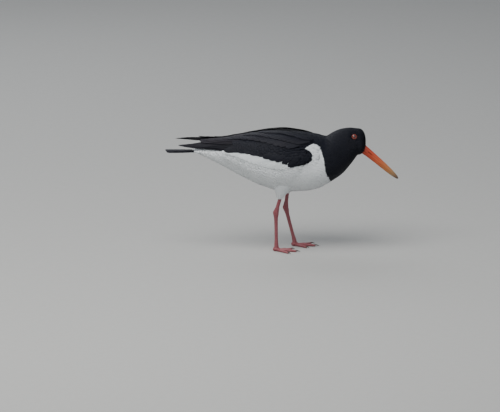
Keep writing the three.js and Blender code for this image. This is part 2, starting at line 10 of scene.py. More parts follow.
import bpy
import numpy as np
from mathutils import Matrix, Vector


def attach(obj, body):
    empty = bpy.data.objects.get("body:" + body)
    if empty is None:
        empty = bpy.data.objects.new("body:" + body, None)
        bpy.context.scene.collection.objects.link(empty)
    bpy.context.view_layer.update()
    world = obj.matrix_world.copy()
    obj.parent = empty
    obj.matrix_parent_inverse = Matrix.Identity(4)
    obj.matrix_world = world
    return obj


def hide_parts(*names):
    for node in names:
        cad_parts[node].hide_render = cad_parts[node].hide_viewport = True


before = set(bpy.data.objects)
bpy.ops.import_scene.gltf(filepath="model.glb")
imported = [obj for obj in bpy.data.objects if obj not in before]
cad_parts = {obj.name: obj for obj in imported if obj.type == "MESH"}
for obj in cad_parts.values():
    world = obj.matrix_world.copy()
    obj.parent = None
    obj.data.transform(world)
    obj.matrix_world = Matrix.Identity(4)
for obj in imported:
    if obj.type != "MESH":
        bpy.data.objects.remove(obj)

LOG = logging.getLogger("oystercatcher")
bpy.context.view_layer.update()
ROOT_BODY = "root"
BAKE_MAP = "OFBake"
VANE_MAP = "Vane"
BAKE_PATCH = 0.003
MM = 0.001
SEED = 1207
TINY = 1e-9
VIEW_RISE = math.radians(12)

Array = np.ndarray
Pair = tuple[float, float]
Triple = tuple[float, float, float]
Table = tuple[tuple[float, ...], ...]
Stops = tuple[tuple[float, Triple], ...]


class Side(Enum):
    """The bird's own sides, by the sign of Y."""

    LEFT = 1
    RIGHT = -1

    @property
    def label(self) -> str:
        """The side's name as the nodes spell it."""
        return self.name.lower()


# The body's outline: place, height of back, of widest place and of belly, and half the width.
BODY_STATIONS: Table = (
    (-142, 162.8, 161, 158.6, 5),
    (-134, 165.4, 160.6, 155.8, 11),
    (-120, 168.5, 159.5, 149.2, 15.5),
    (-95, 173, 157, 136.5, 22),
    (-65, 180, 154, 120, 31),
    (-30, 188, 150, 103.5, 40),
    (5, 192, 147, 94.6, 44.5),
    (35, 190.5, 143, 95.6, 45),
    (58, 187, 140, 100, 42.5),
    (70, 184, 139, 106, 38.5),
    (83, 191, 142, 113.8, 32.5),
    (96, 196, 152, 122.8, 26),
    (109, 197.6, 163, 137.5, 21.5),
    (121, 196.4, 171, 154, 18.3),
)
FOREHEAD_FROM = 121.0
FOREHEAD_TO = 134.2
FOREHEAD_CENTRE = 174.0
FOREHEAD_BULGE = 2.6
FOREHEAD_CLOSE = 2.2
NECK_ZONE: Pair = (45.0, 110.0)

# The folded wing's surface, in the same columns.
WING_STATIONS: Table = (
    (-172, 178.5, 167, 160, 9),
    (-145, 180, 165, 157, 13.5),
    (-120, 181, 162, 150, 20),
    (-95, 182.5, 159, 136, 27),
    (-65, 187.3, 154, 120, 36),
    (-30, 193, 150, 103, 44),
    (5, 196, 147, 94, 48.5),
    (35, 193, 143, 95, 48),
    (62, 187, 140, 100, 43),
)
WING_UPPER_Y: Table = ((-172, 3), (-120, 1.6), (-60, 2.5), (-20, 8), (20, 15), (55, 24))
WING_LOWER_Z: Table = (
    (-170, 171.5), (-115, 168), (-75, 156.5), (-35, 141.5), (-8, 136.4), (13, 140), (48, 157),
)
WHITE_EDGE: Table = (
    (-112, 168), (-91, 166.4), (-67, 165.8), (-45, 162.4), (-23, 157), (3, 148), (14, 142.5),
)
WING_FRONT = 47.0

# The outline of the white plumage as the photograph's camera sees it, by place and by height: up
# the breast, over the white patch in front of the wing with its hook, and back under the wing.
WHITE_OUTLINE: Table = (
    (82, 60), (80, 100), (77.2, 109), (71.8, 116), (69.6, 124), (68.5, 132.6), (66.3, 143.7),
    (63, 154.8), (59.8, 162.6), (56, 166), (51.9, 167.2), (47.5, 166.6), (43.6, 164.4), (36.5, 159.5),
    (43, 157), (47.2, 152.6), (49, 147), (48, 141.5), (43, 136.5), (35, 133.5), (27.4, 131.3),
    (14.1, 128.4), (3, 134.2), (-23, 143), (-45, 150), (-74, 156), (-74, 320), (-320, 320), (-320, 60),
)
MARK_LIMIT = 4.0
MARK_CONTRAST = 1.6
TAIL_BAND_X = -140.0


class SmoothCurve:
    """A smooth curve through points in order of x, which never swings past them."""

    def __init__(self, points: Table) -> None:
        """Works out the slope at each point.

        Args:
            points: pairs of x and y, with x rising.
        """
        self.x = np.array([p[0] for p in points], float)
        self.y = np.array([p[1] for p in points], float)
        width = np.diff(self.x)
        slope = np.diff(self.y) / width
        inner = np.zeros(len(self.x))
        before, after = slope[:-1], slope[1:]
        w1, w2 = 2 * width[1:] + width[:-1], width[1:] + 2 * width[:-1]
        same = before * after > 0
        safe_before = np.where(same, before, 1)
        safe_after = np.where(same, after, 1)
        inner[1:-1] = np.where(same, (w1 + w2) / (w1 / safe_before + w2 / safe_after), 0)
        inner[0], inner[-1] = slope[0], slope[-1]
        self.tangent = inner

    def __call__(self, x: Array) -> Array:
        """The curve's height at x, held past its ends.

        Args:
            x: where the curve is read.

        Returns:
            Its height there.
        """
        held = np.clip(x, self.x[0], self.x[-1])
        i = np.clip(np.searchsorted(self.x, held, side="left") - 1, 0, len(self.x) - 2)
        width = self.x[i + 1] - self.x[i]
        t = (held - self.x[i]) / width
        rise = (3 - 2 * t) * t * t
        bend = (1 - t) * t * width
        flat = self.y[i] + (self.y[i + 1] - self.y[i]) * rise
        return flat + bend * ((1 - t) * self.tangent[i] - t * self.tangent[i + 1])


def curves_of(stations: Table) -> list[SmoothCurve]:
    """One curve for each column of a table whose first column is the place."""
    return [SmoothCurve(tuple((row[0], row[i]) for row in stations)) for i in range(1, len(stations[0]))]


def mix(a: Array | float, b: Array | float, t: Array | float) -> Array:
    """The value a share t of the way from a to b."""
    return a + (b - a) * t


def smooth(low: float, high: float, x: Array) -> Array:
    """A smooth step from 0 at low to 1 at high, where low may be the larger."""
    t = np.clip((x - low) / (high - low), 0, 1)
    return t * t * (3 - 2 * t)


class Former:
    """Egg-shaped sections round the X axis, from a table of stations."""

    def __init__(self, stations: Table, blunt: bool = False) -> None:
        """Keeps one curve for each column of the table.

        Args:
            stations: rows of place, top, widest, bottom and half width.
            blunt: whether the forehead's round end closes the sections.
        """
        self.blunt = blunt
        self.top, self.wide, self.bottom, self.half = curves_of(stations)

    def section(self, x: Array) -> tuple[Array, Array, Array, Array]:
        """The heights of top, widest place and bottom at x, and half the width.

        Args:
            x: the section's place.

        Returns:
            Each value at x, in that order.
        """
        top, wide, bottom, half = self.top(x), self.wide(x), self.bottom(x), self.half(x)
        if not self.blunt:
            return top, wide, bottom, half
        t = np.clip((x - FOREHEAD_FROM) / (FOREHEAD_TO - FOREHEAD_FROM), 0, 1)
        share = (1 - t**FOREHEAD_BULGE) ** (1 / FOREHEAD_CLOSE)
        drawn = (FOREHEAD_CENTRE + (h - FOREHEAD_CENTRE) * share for h in (top, wide, bottom))
        return (*drawn, half * share)

    def point(self, x: Array, angle: Array) -> Array:
        """The points at x and at a signed angle from the top, positive to the left.

        Args:
            x: the places.
            angle: the angles.

        Returns:
            The points.
        """
        top, wide, bottom, half = self.section(x)
        cos = np.cos(angle)
        reach = np.where(cos > 0, top - wide, wide - bottom)
        return np.stack([x + 0 * angle, half * np.sin(angle), wide + reach * cos], -1)

    def angle_at(self, x: Array, z: Array) -> Array:
        """The angle from the top at which the surface has a height."""
        top, wide, bottom, _ = self.section(x)
        return np.arccos(np.clip((z - wide) / np.where(z > wide, top - wide, wide - bottom), -1, 1))


class Surface(ABC):
    """A surface that feathers lie on, by a distance back along it and a place across it."""

    outward: float = 1.0
    across_step: float = 0.01
    along_step: float = 0.25
    least_width: float = 0.05

    @abstractmethod
    def base(self, along: Array, across: Array) -> Array:
        """The points on the surface."""

    def normals(self, along: Array, across: Array) -> Array:
        """The outward directions.

        Args:
            along: distances along the surface.
            across: places across it.

        Returns:
            A direction of length 1 for each place.
        """
        da, dc = self.along_step, self.across_step
        back = self.base(along + da, across) - self.base(along - da, across)
        sideways = self.base(along, across + dc) - self.base(along, across - dc)
        normal = np.cross(sideways, back) * self.outward
        return normal / np.maximum(np.linalg.norm(normal, axis=-1, keepdims=True), TINY)

    def width(self, along: Array, across: Array) -> Array:
        """Millimetres for each unit of across."""
        step = self.base(along, across + self.across_step) - self.base(along, across - self.across_step)
        return np.maximum(np.linalg.norm(step, axis=-1) / (2 * self.across_step), self.least_width)

    def at(self, along: Array, across: Array, out: Array | float) -> Array:
        """The points that stand out from the surface by a height."""
        along, across, out = np.broadcast_arrays(along, across, out)
        return self.base(along, across) + self.normals(along, across) * out[..., None]


class BodySurface(Surface):
    """Torso, neck and head in one: distance from the brow, and angle from the back."""

    dome_steps: int = 400
    trunk_steps: int = 900
    measured_at: tuple[float, ...] = (0, 1.2, 2.2, math.pi)
    nearest: float = 0.02

    def __init__(self) -> None:
        """Measures how far the surface runs from the brow to each place."""
        self.former = Former(BODY_STATIONS, blunt=True)
        turn = np.linspace(0, math.pi / 2, self.dome_steps)
        dome = FOREHEAD_FROM + (FOREHEAD_TO - FOREHEAD_FROM) * np.cos(turn)
        trunk = np.linspace(FOREHEAD_FROM, BODY_STATIONS[0][0], self.trunk_steps)[1:]
        self.places = np.concatenate([dome, trunk])
        angles = (np.full_like(self.places, angle) for angle in self.measured_at)
        lines = [self.former.point(self.places, angle) for angle in angles]
        steps = [np.linalg.norm(np.diff(line, axis=0), axis=1) for line in lines]
        self.run = np.concatenate([[0], np.cumsum(np.mean(steps, axis=0))])

    def place(self, along: Array) -> Array:
        """The X of a distance from the brow, running straight on past the tail end."""
        x = np.interp(along, self.run, self.places)
        return x - np.maximum(along - self.run[-1], 0)

    def along(self, place: Array) -> Array:
        """The distance from the brow of an X."""
        return np.interp(-np.asarray(place, float), -self.places, self.run)

    def base(self, along: Array, across: Array) -> Array:
        """The points on the surface."""
        return self.former.point(self.place(np.maximum(along, self.nearest)), across)


@dataclass(frozen=True)
class WingFold:
    """How one wing is folded: how its tip is lifted, drawn forward and gathered upwards."""

    lift: float
    shift: float
    gather: float


FOLDS: dict[Side, WingFold] = {
    Side.LEFT: WingFold(5.0, 0.0, 0.5),
    Side.RIGHT: WingFold(-1.5, 4.5, 1.0),
}
TIP_LIFT_ZONE: Pair = (85.0, 165.0)
TIP_SHIFT_ZONE: Pair = (110.0, 160.0)


class WingSurface(Surface):
    """A folded wing's surface: distance behind X = 0, and share from upper to lower edge."""

    def __init__(self, side: Side) -> None:
        """Keeps the wing's outline curves.

        Args:
            side: the bird's side.
        """
        self.side = side
        self.outward = float(side.value)
        self.former = Former(WING_STATIONS)
        self.upper_y = SmoothCurve(WING_UPPER_Y)
        self.lower_z = SmoothCurve(WING_LOWER_Z)
        self.white_z = SmoothCurve(WHITE_EDGE)

    def edges(self, x: Array) -> tuple[Array, Array]:
        """The angles of the wing's upper and lower edges."""
        upper = np.arcsin(np.clip(self.upper_y(x) / self.former.section(x)[3], 0, 1))
        return upper, self.former.angle_at(x, self.lower_z(x))

    def share(self, x: Array, z: Array) -> Array:
        """The share across the wing at which its surface has a height."""
        upper, lower = self.edges(x)
        return (self.former.angle_at(x, z) - upper) / (lower - upper)

    def white_share(self, x: Array) -> Array:
        """The share across the wing at which the black feathers end."""
        return self.share(x, self.white_z(x))

    def base(self, along: Array, across: Array) -> Array:
        """The points on the surface.

        Args:
            along: distances along the surface.
            across: places across it.

        Returns:
            The points, with the tip lifted.
        """
        x = -along
        upper, lower = self.edges(x)
        made = self.former.point(x, self.side.value * mix(upper, lower, across))
        made[..., 2] += FOLDS[self.side].lift * smooth(*TIP_LIFT_ZONE, along)
        return made


TAIL_ROOT_X = -98.0
TAIL_END_X = -186.5
TAIL_HEIGHT = 161.6
TAIL_ROOT_HALF = 9.0
TAIL_END_HALF = 15.0
TAIL_ROOF = 1.6


class TailSurface(Surface):
    """The tail's surface: distance behind X = 0, and millimetres across."""

    across_step = 0.2

    def __init__(self, under: bool = False) -> None:
        """Keeps which face the feathers lie on.

        Args:
            under: whether they lie on the lower face.
        """
        self.outward = -1.0 if under else 1.0

    def half(self, along: Array) -> Array:
        """Half the tail's width."""
        share = (-along - TAIL_ROOT_X) / (TAIL_END_X - TAIL_ROOT_X)
        return mix(TAIL_ROOT_HALF, TAIL_END_HALF, share)

    def base(self, along: Array, across: Array) -> Array:
        """The points on the surface."""
        sag = TAIL_ROOF * (across / self.half(along)) ** 2
        return np.stack([-along + 0 * across, across + 0 * along, TAIL_HEIGHT - sag], -1)


@dataclass(frozen=True)
class LegPlan:
    """The places of one leg's joints, and the way its foot points."""

    side: Side
    hip: Triple
    cuff: Triple
    ankle: Triple
    foot: Triple
    heading: float


LEGS: tuple[LegPlan, ...] = (
    LegPlan(Side.RIGHT, (5, -20, 122), (-2.2, -19, 88), (-9.4, -18, 63.5), (-8.6, -17, 6.5), -16),
    LegPlan(Side.LEFT, (17, 20, 122), (9.4, 20.5, 89.5), (6.2, 21, 63.5), (21, 22, 6.5), -9),
)


class LimbSurface(Surface):
    """A limb: distance down from its first station, and angle round it."""

    across_step = 0.05

    def __init__(self, centres: list[Array], fore: list[float], wide: list[float]) -> None:
        """Keeps smooth curves of the limb's centre and of its two radii.

        Args:
            centres: the stations' centres.
            fore: their radii fore and aft.
            wide: their radii to the sides.
        """
        self.outward = -1.0
        points = np.array(centres, float)
        run = np.concatenate([[0], np.cumsum(np.linalg.norm(np.diff(points, axis=0), axis=1))])
        self.length = float(run[-1])
        self.lines = [SmoothCurve(tuple(zip(run, points[:, i]))) for i in range(3)]
        self.fore = SmoothCurve(tuple(zip(run, fore)))
        self.wide = SmoothCurve(tuple(zip(run, wide)))

    def centre(self, along: Array) -> Array:
        """The centre line."""
        return np.stack([line(along) for line in self.lines], -1)

    def base(self, along: Array, across: Array) -> Array:
        """The points on the surface.

        Args:
            along: distances along the surface.
            across: places across it.

        Returns:
            The points.
        """
        made = self.centre(along + 0 * across)
        made[..., 0] += self.fore(along) * np.cos(across)
        made[..., 1] += self.wide(along) * np.sin(across)
        return made


class Markings:
    """Where the plumage is white, on skin and coat alike."""

    def __init__(self) -> None:
        """Keeps the outline of the white."""
        self.corners = np.array(WHITE_OUTLINE, float)

    def seen(self, points: Array) -> Array:
        """The place and height at which the photograph's camera sees points of the near side."""
        height = points[..., 2] * math.cos(VIEW_RISE) - np.abs(points[..., 1]) * math.sin(VIEW_RISE)
        return np.stack([points[..., 0], height], -1)

    def white(self, points: Array) -> Array:
        """How far points lie inside the white, in millimetres, or outside it, below 0.

        Args:
            points: places on the body.

        Returns:
            The distance for each point, held within the mark's limit.
        """
        seen = self.seen(points).reshape(-1, 2)
        nearest = np.full(len(seen), np.inf)
        inside = np.zeros(len(seen), bool)
        for start, end in zip(self.corners, np.roll(self.corners, -1, axis=0)):
            run = end - start
            share = np.clip((seen - start) @ run / (run @ run), 0, 1)
            gap = seen - start - share[:, None] * run
            nearest = np.minimum(nearest, np.einsum("ij,ij->i", gap, gap))
            level = (start[1] > seen[:, 1]) != (end[1] > seen[:, 1])
            rise = run[1] if run[1] else TINY
            crossing = start[0] + (seen[:, 1] - start[1]) * run[0] / rise
            inside ^= level & (seen[:, 0] < crossing)
        distance = np.sqrt(nearest) * np.where(inside, 1, -1)
        return np.clip(distance, -MARK_LIMIT, MARK_LIMIT).reshape(points.shape[:-1])


def all_black(points: Array) -> Array:
    """The mark of feathers that are black throughout."""
    return np.full(points.shape[:-1], -MARK_LIMIT)


def all_white(points: Array) -> Array:
    """The mark of feathers that are white throughout."""
    return np.full(points.shape[:-1], MARK_LIMIT)


def black_tipped(points: Array) -> Array:
    """The mark of tail feathers, which are white in front of a broad black band."""
    return np.clip(points[..., 0] - TAIL_BAND_X, -MARK_LIMIT, MARK_LIMIT)


@dataclass
class MeshData:
    """A mesh as arrays, with a value for each point in each attribute and map."""

    points: Array
    faces: Array
    attributes: dict[str, Array] = field(default_factory=dict)
    maps: dict[str, Array] = field(default_factory=dict)


def joined(parts: list[MeshData]) -> MeshData:
    """Several meshes as one.

    Args:
        parts: meshes with the same attributes and maps.

    Returns:
        The one mesh.
    """
    starts = np.cumsum([0] + [len(p.points) for p in parts[:-1]])
    return MeshData(
        np.concatenate([p.points for p in parts]),
        np.concatenate([p.faces + start for p, start in zip(parts, starts)]),
        {k: np.concatenate([p.attributes[k] for p in parts]) for k in parts[0].attributes},
        {k: np.concatenate([p.maps[k] for p in parts]) for k in parts[0].maps},
    )


def make_mesh(name: str, data: MeshData) -> bpy.types.Mesh:
    """A Blender mesh in metres from arrays in millimetres.

    Args:
        name: the mesh's name.
        data: the arrays.

    Returns:
        The mesh, shaded smooth.
    """
    mesh = bpy.data.meshes.new(name)
    corners = data.faces.ravel().astype(np.int32)
    mesh.vertices.add(len(data.points))
    mesh.vertices.foreach_set("co", (data.points * MM).astype(np.float32).ravel())
    mesh.loops.add(len(corners))
    mesh.loops.foreach_set("vertex_index", corners)
    mesh.polygons.add(len(data.faces))
    mesh.polygons.foreach_set("loop_start", np.arange(0, len(corners), data.faces.shape[1], dtype=np.int32))
    mesh.polygons.foreach_set("use_smooth", np.ones(len(data.faces), bool))
    mesh.update(calc_edges=True)
    for key, values in data.attributes.items():
        layer = mesh.attributes.new(key, "FLOAT", "POINT")
        layer.data.foreach_set("value", values.astype(np.float32))
    for key, places in data.maps.items():
        layer = mesh.uv_layers.new(name=key)
        layer.data.foreach_set("uv", places[corners].astype(np.float32).ravel())
    return mesh


def place_object(name: str, data: bpy.types.ID | None) -> bpy.types.Object:
    """Puts a new object into the scene.

    Args:
        name: its name.
        data: its mesh, light or camera.

    Returns:
        The object.
    """
    made = bpy.data.objects.new(name, data)
    bpy.context.scene.collection.objects.link(made)
    return made


@dataclass(frozen=True)
class Fitting:
    """The name of a piece's material slot, and the nodes that it stands for."""

    slot: str
    replaces: tuple[str, ...] = ()


def add_piece(name: str, data: MeshData, material: bpy.types.Material, fitting: Fitting) -> None:
    """Makes a piece of the model and lets it ride on the body.

    Args:
        name: the piece's name.
        data: its mesh.
        material: its finish.
        fitting: its slot and nodes.
    """
    made = place_object(name, make_mesh(name, data))
    made.data.materials.append(material)
    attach(made, ROOT_BODY)
    if fitting.replaces:
        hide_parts(*fitting.replaces)
    LOG.info("%s: %d faces", name, len(data.faces))


def full_turn(count: int) -> Array:
    """A row of angles all the way round."""
    return np.linspace(0, 2 * math.pi, count, endpoint=False)[None]


def tube(rings: Array) -> Array:
    """The faces of a tube through rings of points.

    Args:
        rings: the points, as rings by points in a ring by three.

    Returns:
        The quads, as rows of four indices.
    """
    count, size = rings.shape[0], rings.shape[1]
    i, j = np.meshgrid(np.arange(count - 1), np.arange(size), indexing="ij")
    k = (j + 1) % size
    quads = np.stack([i * size + j, i * size + k, (i + 1) * size + k, (i + 1) * size + j], -1)
    return quads.reshape(-1, 4)


def capped_tube(rings: Array) -> MeshData:
    """A closed tube whose ends narrow to a point at the middle of each end ring.

    Args:
        rings: the tube's rings, as rings by points in a ring by three.

    Returns:
        The tube.
    """
    ends = [rings[0].mean(0), rings[-1].mean(0)]
    near = [mix(ring, end, 0.999) for ring, end in zip((rings[0], rings[-1]), ends)]
    whole = np.concatenate([near[0][None], rings, near[1][None]])
    size = whole.shape[1]
    last = (whole.shape[0] - 1) * size
    fans = []
    for j in range(1, size - 2, 2):
        fans.append((0, j + 2, j + 1, j))
        fans.append((last, last + j, last + j + 1, last + j + 2))
    return MeshData(whole.reshape(-1, 3), np.concatenate([tube(whole), np.array(fans)]))


def with_caps(values: Array) -> Array:
    """The values of a capped tube's rings, where each cap has those of the ring beside it."""
    return np.concatenate([values[:1], values, values[-1:]])


@dataclass(frozen=True)
class LeafShape:
    """The outline of a feather's vane.

    The sides end short of the shaft by reach times the half width, along a curve of the given
    power, and fray is how deep the barbs of the tip part, as a share of the half width.
    """

    root: float = 0.55
    widest: float = 0.55
    tip: float = 0.8
    reach: float = 1.1
    power: float = 2.2
    ragged: float = 0.06
    fray: float = 0.0
    longest_cut: float = 0.75
    shallow_notch: float = 0.35
    root_ragged: float = 0.3
    ridge_power: float = 1.6
    tip_thin: float = 0.5

    def notches(self, count: int, columns: int, random: np.random.Generator) -> Array:
        """How deep the barbs part at each column of each vane, deeper at every second one."""
        deep = np.arange(columns + 1) % 2
        return random.random((count, columns + 1)) * (self.shallow_notch + (1 - self.shallow_notch) * deep)

    def raggedness(self, count: int, rows: int, random: np.random.Generator) -> Array:
        """How far each row of each vane's two sides reaches, as a share of its width."""
        growing = np.linspace(self.root_ragged, 1, rows + 1)
        return 1 - self.ragged * random.random((count, 2, rows + 1)) * growing

    def width(self, t: Array) -> Array:
        """The half width as a share of the widest, from root to tip."""
        return mix(self.root, 1, smooth(0, self.widest, t)) * mix(1, self.tip, smooth(self.widest, 1, t))


@dataclass(frozen=True)
class LeafGrid:
    """The points of a vane: an upper and a lower face that meet in a thin rim."""

    rows: int
    columns: int
    crowding: float = 1.5

    def both_faces(self, rows: Array, columns: Array) -> tuple[Array, Array]:
        """The row and column values of every point: the upper face, then the inside of the lower."""
        grids = np.meshgrid(rows, columns, indexing="ij")
        return tuple(np.concatenate([grid.ravel(), grid[1:-1, 1:-1].ravel()]) for grid in grids)

    def points(self) -> tuple[Array, Array, Array]:
        """Each point's share along and place across, and 1 where it is on the lower face.

        Returns:
            Three values for each point, in that order.
        """
        rows = 1 - (1 - np.linspace(0, 1, self.rows + 1)) ** self.crowding
        t, a = self.both_faces(rows, np.linspace(-1, 1, self.columns + 1))
        under = np.zeros(t.size)
        under[(self.rows + 1) * (self.columns + 1) :] = 1
        return t, a, under

    def places(self) -> tuple[Array, Array]:
        """The row and the column that each point belongs to."""
        return self.both_faces(np.arange(self.rows + 1), np.arange(self.columns + 1))

    def faces(self) -> Array:
        """The quads of both faces.

        Returns:
            Rows of four indices, the upper face first.
        """
        wide = self.columns + 1
        top = np.arange((self.rows + 1) * wide).reshape(self.rows + 1, wide)
        low = top.copy()
        inner = np.arange((self.rows - 1) * (self.columns - 1)).reshape(self.rows - 1, -1)
        low[1:-1, 1:-1] = top.size + inner
        upper = np.stack([top[:-1, :-1], top[:-1, 1:], top[1:, 1:], top[1:, :-1]], -1)
        lower = np.stack([low[:-1, :-1], low[1:, :-1], low[1:, 1:], low[:-1, 1:]], -1)
        return np.concatenate([upper.reshape(-1, 4), lower.reshape(-1, 4)])


@dataclass
class Leaves:
    """Vanes on one surface, one row of each array for each vane, in millimetres."""

    root: Array
    tip: Array
    half: Array
    out: Array
    tone: Array
    # On black feathers this value is wear, a brown fade toward the tip; on white feathers it greys them as
    # painted shade.
    worn: Array
    bow: Array | None = None
    mark: Callable[[Array], Array] = all_black
    stray: float = 0.0
    tilt: float = 0.0
    ridge: float = 0.15
    thick: float = 0.2

    def pick(self, keep: Array) -> "Leaves":
        """The vanes that are marked to be kept, of those without a bow."""
        kept = {k: getattr(self, k)[keep] for k in ("root", "tip", "half", "out", "tone", "worn")}
        return replace(self, **kept)


SHORTEST_VANE = 0.1
CM = 10.0
CELL_HALF = 0.45
CELL_MARGIN = 0.04
BODY_MAP_SHARE = 0.94


def lay(
    surface: Surface, leaves: Leaves, grid: LeafGrid, shape: LeafShape, random: np.random.Generator
) -> MeshData:
    """Lays vanes on a surface.

    Args:
        surface: what they lie on.
        leaves: where each one grows, and its size and colour.
        grid: how finely each one is divided.
        shape: their outline.
        random: the source of their small irregularities.

    Returns:
        One mesh of all vanes, without its bake map.
    """
    t, a, under = grid.points()
    row, column = grid.places()
    count, size = len(leaves.half), len(t)
    length = np.maximum(np.abs(leaves.tip[:, :1] - leaves.root[:, :1]), SHORTEST_VANE)
    notches = shape.notches(count, grid.columns, random)
    slim = leaves.half[:, None] / length
    cut = np.minimum(shape.reach * slim * np.abs(a) ** shape.power, shape.longest_cut)
    cut = cut + shape.fray * slim * notches[:, column]
    reached = t * (1 - cut * t**2)
    along = mix(leaves.root[:, :1], leaves.tip[:, :1], reached)
    middle = mix(leaves.root[:, 1:], leaves.tip[:, 1:], reached)
    unit = surface.width(along, middle)
    if leaves.bow is not None:
        middle = middle + leaves.bow[:, None] * np.sin(math.pi * reached) / unit
    frayed = shape.raggedness(count, grid.rows, random)
    edge = np.where(a < 0, frayed[:, 0][:, row], frayed[:, 1][:, row])
    across = middle + a * leaves.half[:, None] * shape.width(t) * edge / unit
    height = mix(leaves.out[:, :1], leaves.out[:, 1:], reached)
    height = height + leaves.tilt * a + leaves.ridge * (1 - np.abs(a) ** shape.ridge_power) * (1 - under)
    height = height - under * leaves.thick * (1 - a * a) * (1 - shape.tip_thin * t)
    points = surface.at(along, across, height)
    vane = np.stack([a * leaves.half[:, None] / CM + 0 * t, reached * length / CM], -1)
    faces = grid.faces()
    if surface.outward < 0:
        faces = faces[:, ::-1]
    whole = (faces[None] + (np.arange(count) * size)[:, None, None]).reshape(-1, 4)
    astray = random.normal(0, 1, (count, 1, 3)) * leaves.stray
    spread = np.ones((count, size))
    return MeshData(
        points.reshape(-1, 3),
        whole,
        {
            "white": leaves.mark(points + astray).ravel(),
            "tone": (leaves.tone[:, None] * spread).ravel(),
            "worn": (leaves.worn[:, None] * spread).ravel(),
            "tipward": (t * spread).ravel(),
        },
        {VANE_MAP: vane.reshape(-1, 2)},
    )


def patch_map(places: Array, grid: LeafGrid) -> Array:
    """The bake map of vanes that are each a small patch at their root's place.

    Args:
        places: each root's place on the map.
        grid: the vanes' grid.

    Returns:
        A place for every point.
    """
    t, a, _ = grid.points()
    patch = np.stack([a / 2, t - 0.5], -1) * BAKE_PATCH
    return (places[:, None] + patch).reshape(-1, 2)


def cell_map(count: int, grid: LeafGrid) -> Array:
    """The bake map of large vanes that each fill a cell of a square.

    Args:
        count: how many vanes there are.
        grid: their grid.

    Returns:
        A place for every point.
    """
    t, a, _ = grid.points()
    side = math.ceil(math.sqrt(count))
    cells = np.stack([np.arange(count) % side, np.arange(count) // side], -1)
    inside = np.stack([0.5 + CELL_HALF * a, CELL_MARGIN + (1 - 2 * CELL_MARGIN) * t], -1)
    return ((cells[:, None] + inside) / side).reshape(-1, 2)


def body_map(along: Array, across: Array, run: float) -> Array:
    """A place on the unwrapped body, slit along the belly.

    Args:
        along: distances along the surface.
        across: angles from the back.
        run: the surface's whole length.

    Returns:
        A place on the map for each pair.
    """
    u = 0.5 + across / (2 * math.pi) * BODY_MAP_SHARE
    v = (1 - BODY_MAP_SHARE) / 2 + np.clip(along / run, 0, 1) * BODY_MAP_SHARE
    return np.stack([u + 0 * v, v + 0 * u], -1)


class Shader:
    """A material's node tree, with short ways to add and join nodes."""

    def __init__(self, name: str) -> None:
        """Starts a material with only its main shader and output.

        Args:
            name: the material's name.
        """
        self.material = bpy.data.materials.new(name)
        self.material.use_nodes = True
        self.tree = self.material.node_tree
        self.main = next(n for n in self.tree.nodes if n.type == "BSDF_PRINCIPLED")

    def feed(self, socket: bpy.types.NodeSocket, value: object) -> None:
        """Joins a socket to an input, or sets the input's own value.

        Args:
            socket: the input.
            value: a socket, a number, or a colour as three numbers.
        """
        if isinstance(value, bpy.types.NodeSocket):
            self.tree.links.new(value, socket)
        elif socket.type == "RGBA":
            socket.default_value = (*value, 1.0)
        else:
            socket.default_value = value

    def add(self, kind: str, settings: dict | None = None, **inputs: object) -> bpy.types.Node:
        """Adds a node.

        Args:
            kind: the node's type, without the prefix ShaderNode.
            settings: its own properties.
            inputs: values or sockets for its inputs, by name, or by _ and a number.

        Returns:
            The node.
        """
        node = self.tree.nodes.new("ShaderNode" + kind)
        for key, value in (settings or {}).items():
            setattr(node, key, value)
        for key, value in inputs.items():
            place = int(key[1:]) if key.startswith("_") else key.replace("_", " ")
            self.feed(node.inputs[place], value)
        return node

    def math(self, operation: str, *values: object) -> bpy.types.NodeSocket:
        """The result of an operation on sockets and numbers."""
        inputs = {f"_{i}": value for i, value in enumerate(values)}
        return self.add("Math", {"operation": operation}, **inputs).outputs[0]

    def blend(self, factor: object, a: object, b: object) -> bpy.types.NodeSocket:
        """A colour between two, by a factor."""
        node = self.add("Mix", {"data_type": "RGBA", "clamp_factor": True}, _0=factor, _6=a, _7=b)
        return node.outputs[2]

    def value(self, name: str) -> bpy.types.NodeSocket:
        """A mesh attribute's number."""
        return self.add("Attribute", {"attribute_name": name}).outputs["Fac"]

    def noise(self, scale: float, **inputs: object) -> bpy.types.NodeSocket:
        """A noise through the object's own space."""
        coords = self.add("TexCoord").outputs["Object"]
        return self.add("TexNoise", Vector=coords, Scale=scale, **inputs).outputs["Fac"]

    def mark(self) -> bpy.types.NodeSocket:
        """How white the plumage is, from 0 to 1, by the distance to the edge of the white."""
        clamped = {"operation": "MULTIPLY_ADD", "use_clamp": True}
        return self.add("Math", clamped, _0=self.value("white"), _1=MARK_CONTRAST, _2=0.5).outputs[0]

    def ramp(self, factor: bpy.types.NodeSocket, stops: Stops) -> bpy.types.NodeSocket:
        """A colour from a row of stops.

        Args:
            factor: where on the ramp.
            stops: the places and colours.

        Returns:
            The colour's socket.
        """
        node = self.add("ValToRGB", Fac=factor)
        elements = node.color_ramp.elements
        while len(elements) < len(stops):
            elements.new(0.5)
        for element, (place, colour) in zip(elements, stops):
            element.position = place
            element.color = (*colour, 1.0)
        return node.outputs["Color"]

    def set(self, **inputs: object) -> None:
        """Sets or links the main shader's inputs."""
        for key, value in inputs.items():
            self.feed(self.main.inputs[key.replace("_", " ")], value)

    def bump(self, height: bpy.types.NodeSocket, strength: float, distance: float) -> None:
        """Gives the main shader a bump."""
        node = self.add("Bump", Height=height, Strength=strength, Distance=distance)
        self.tree.links.new(node.outputs["Normal"], self.main.inputs["Normal"])


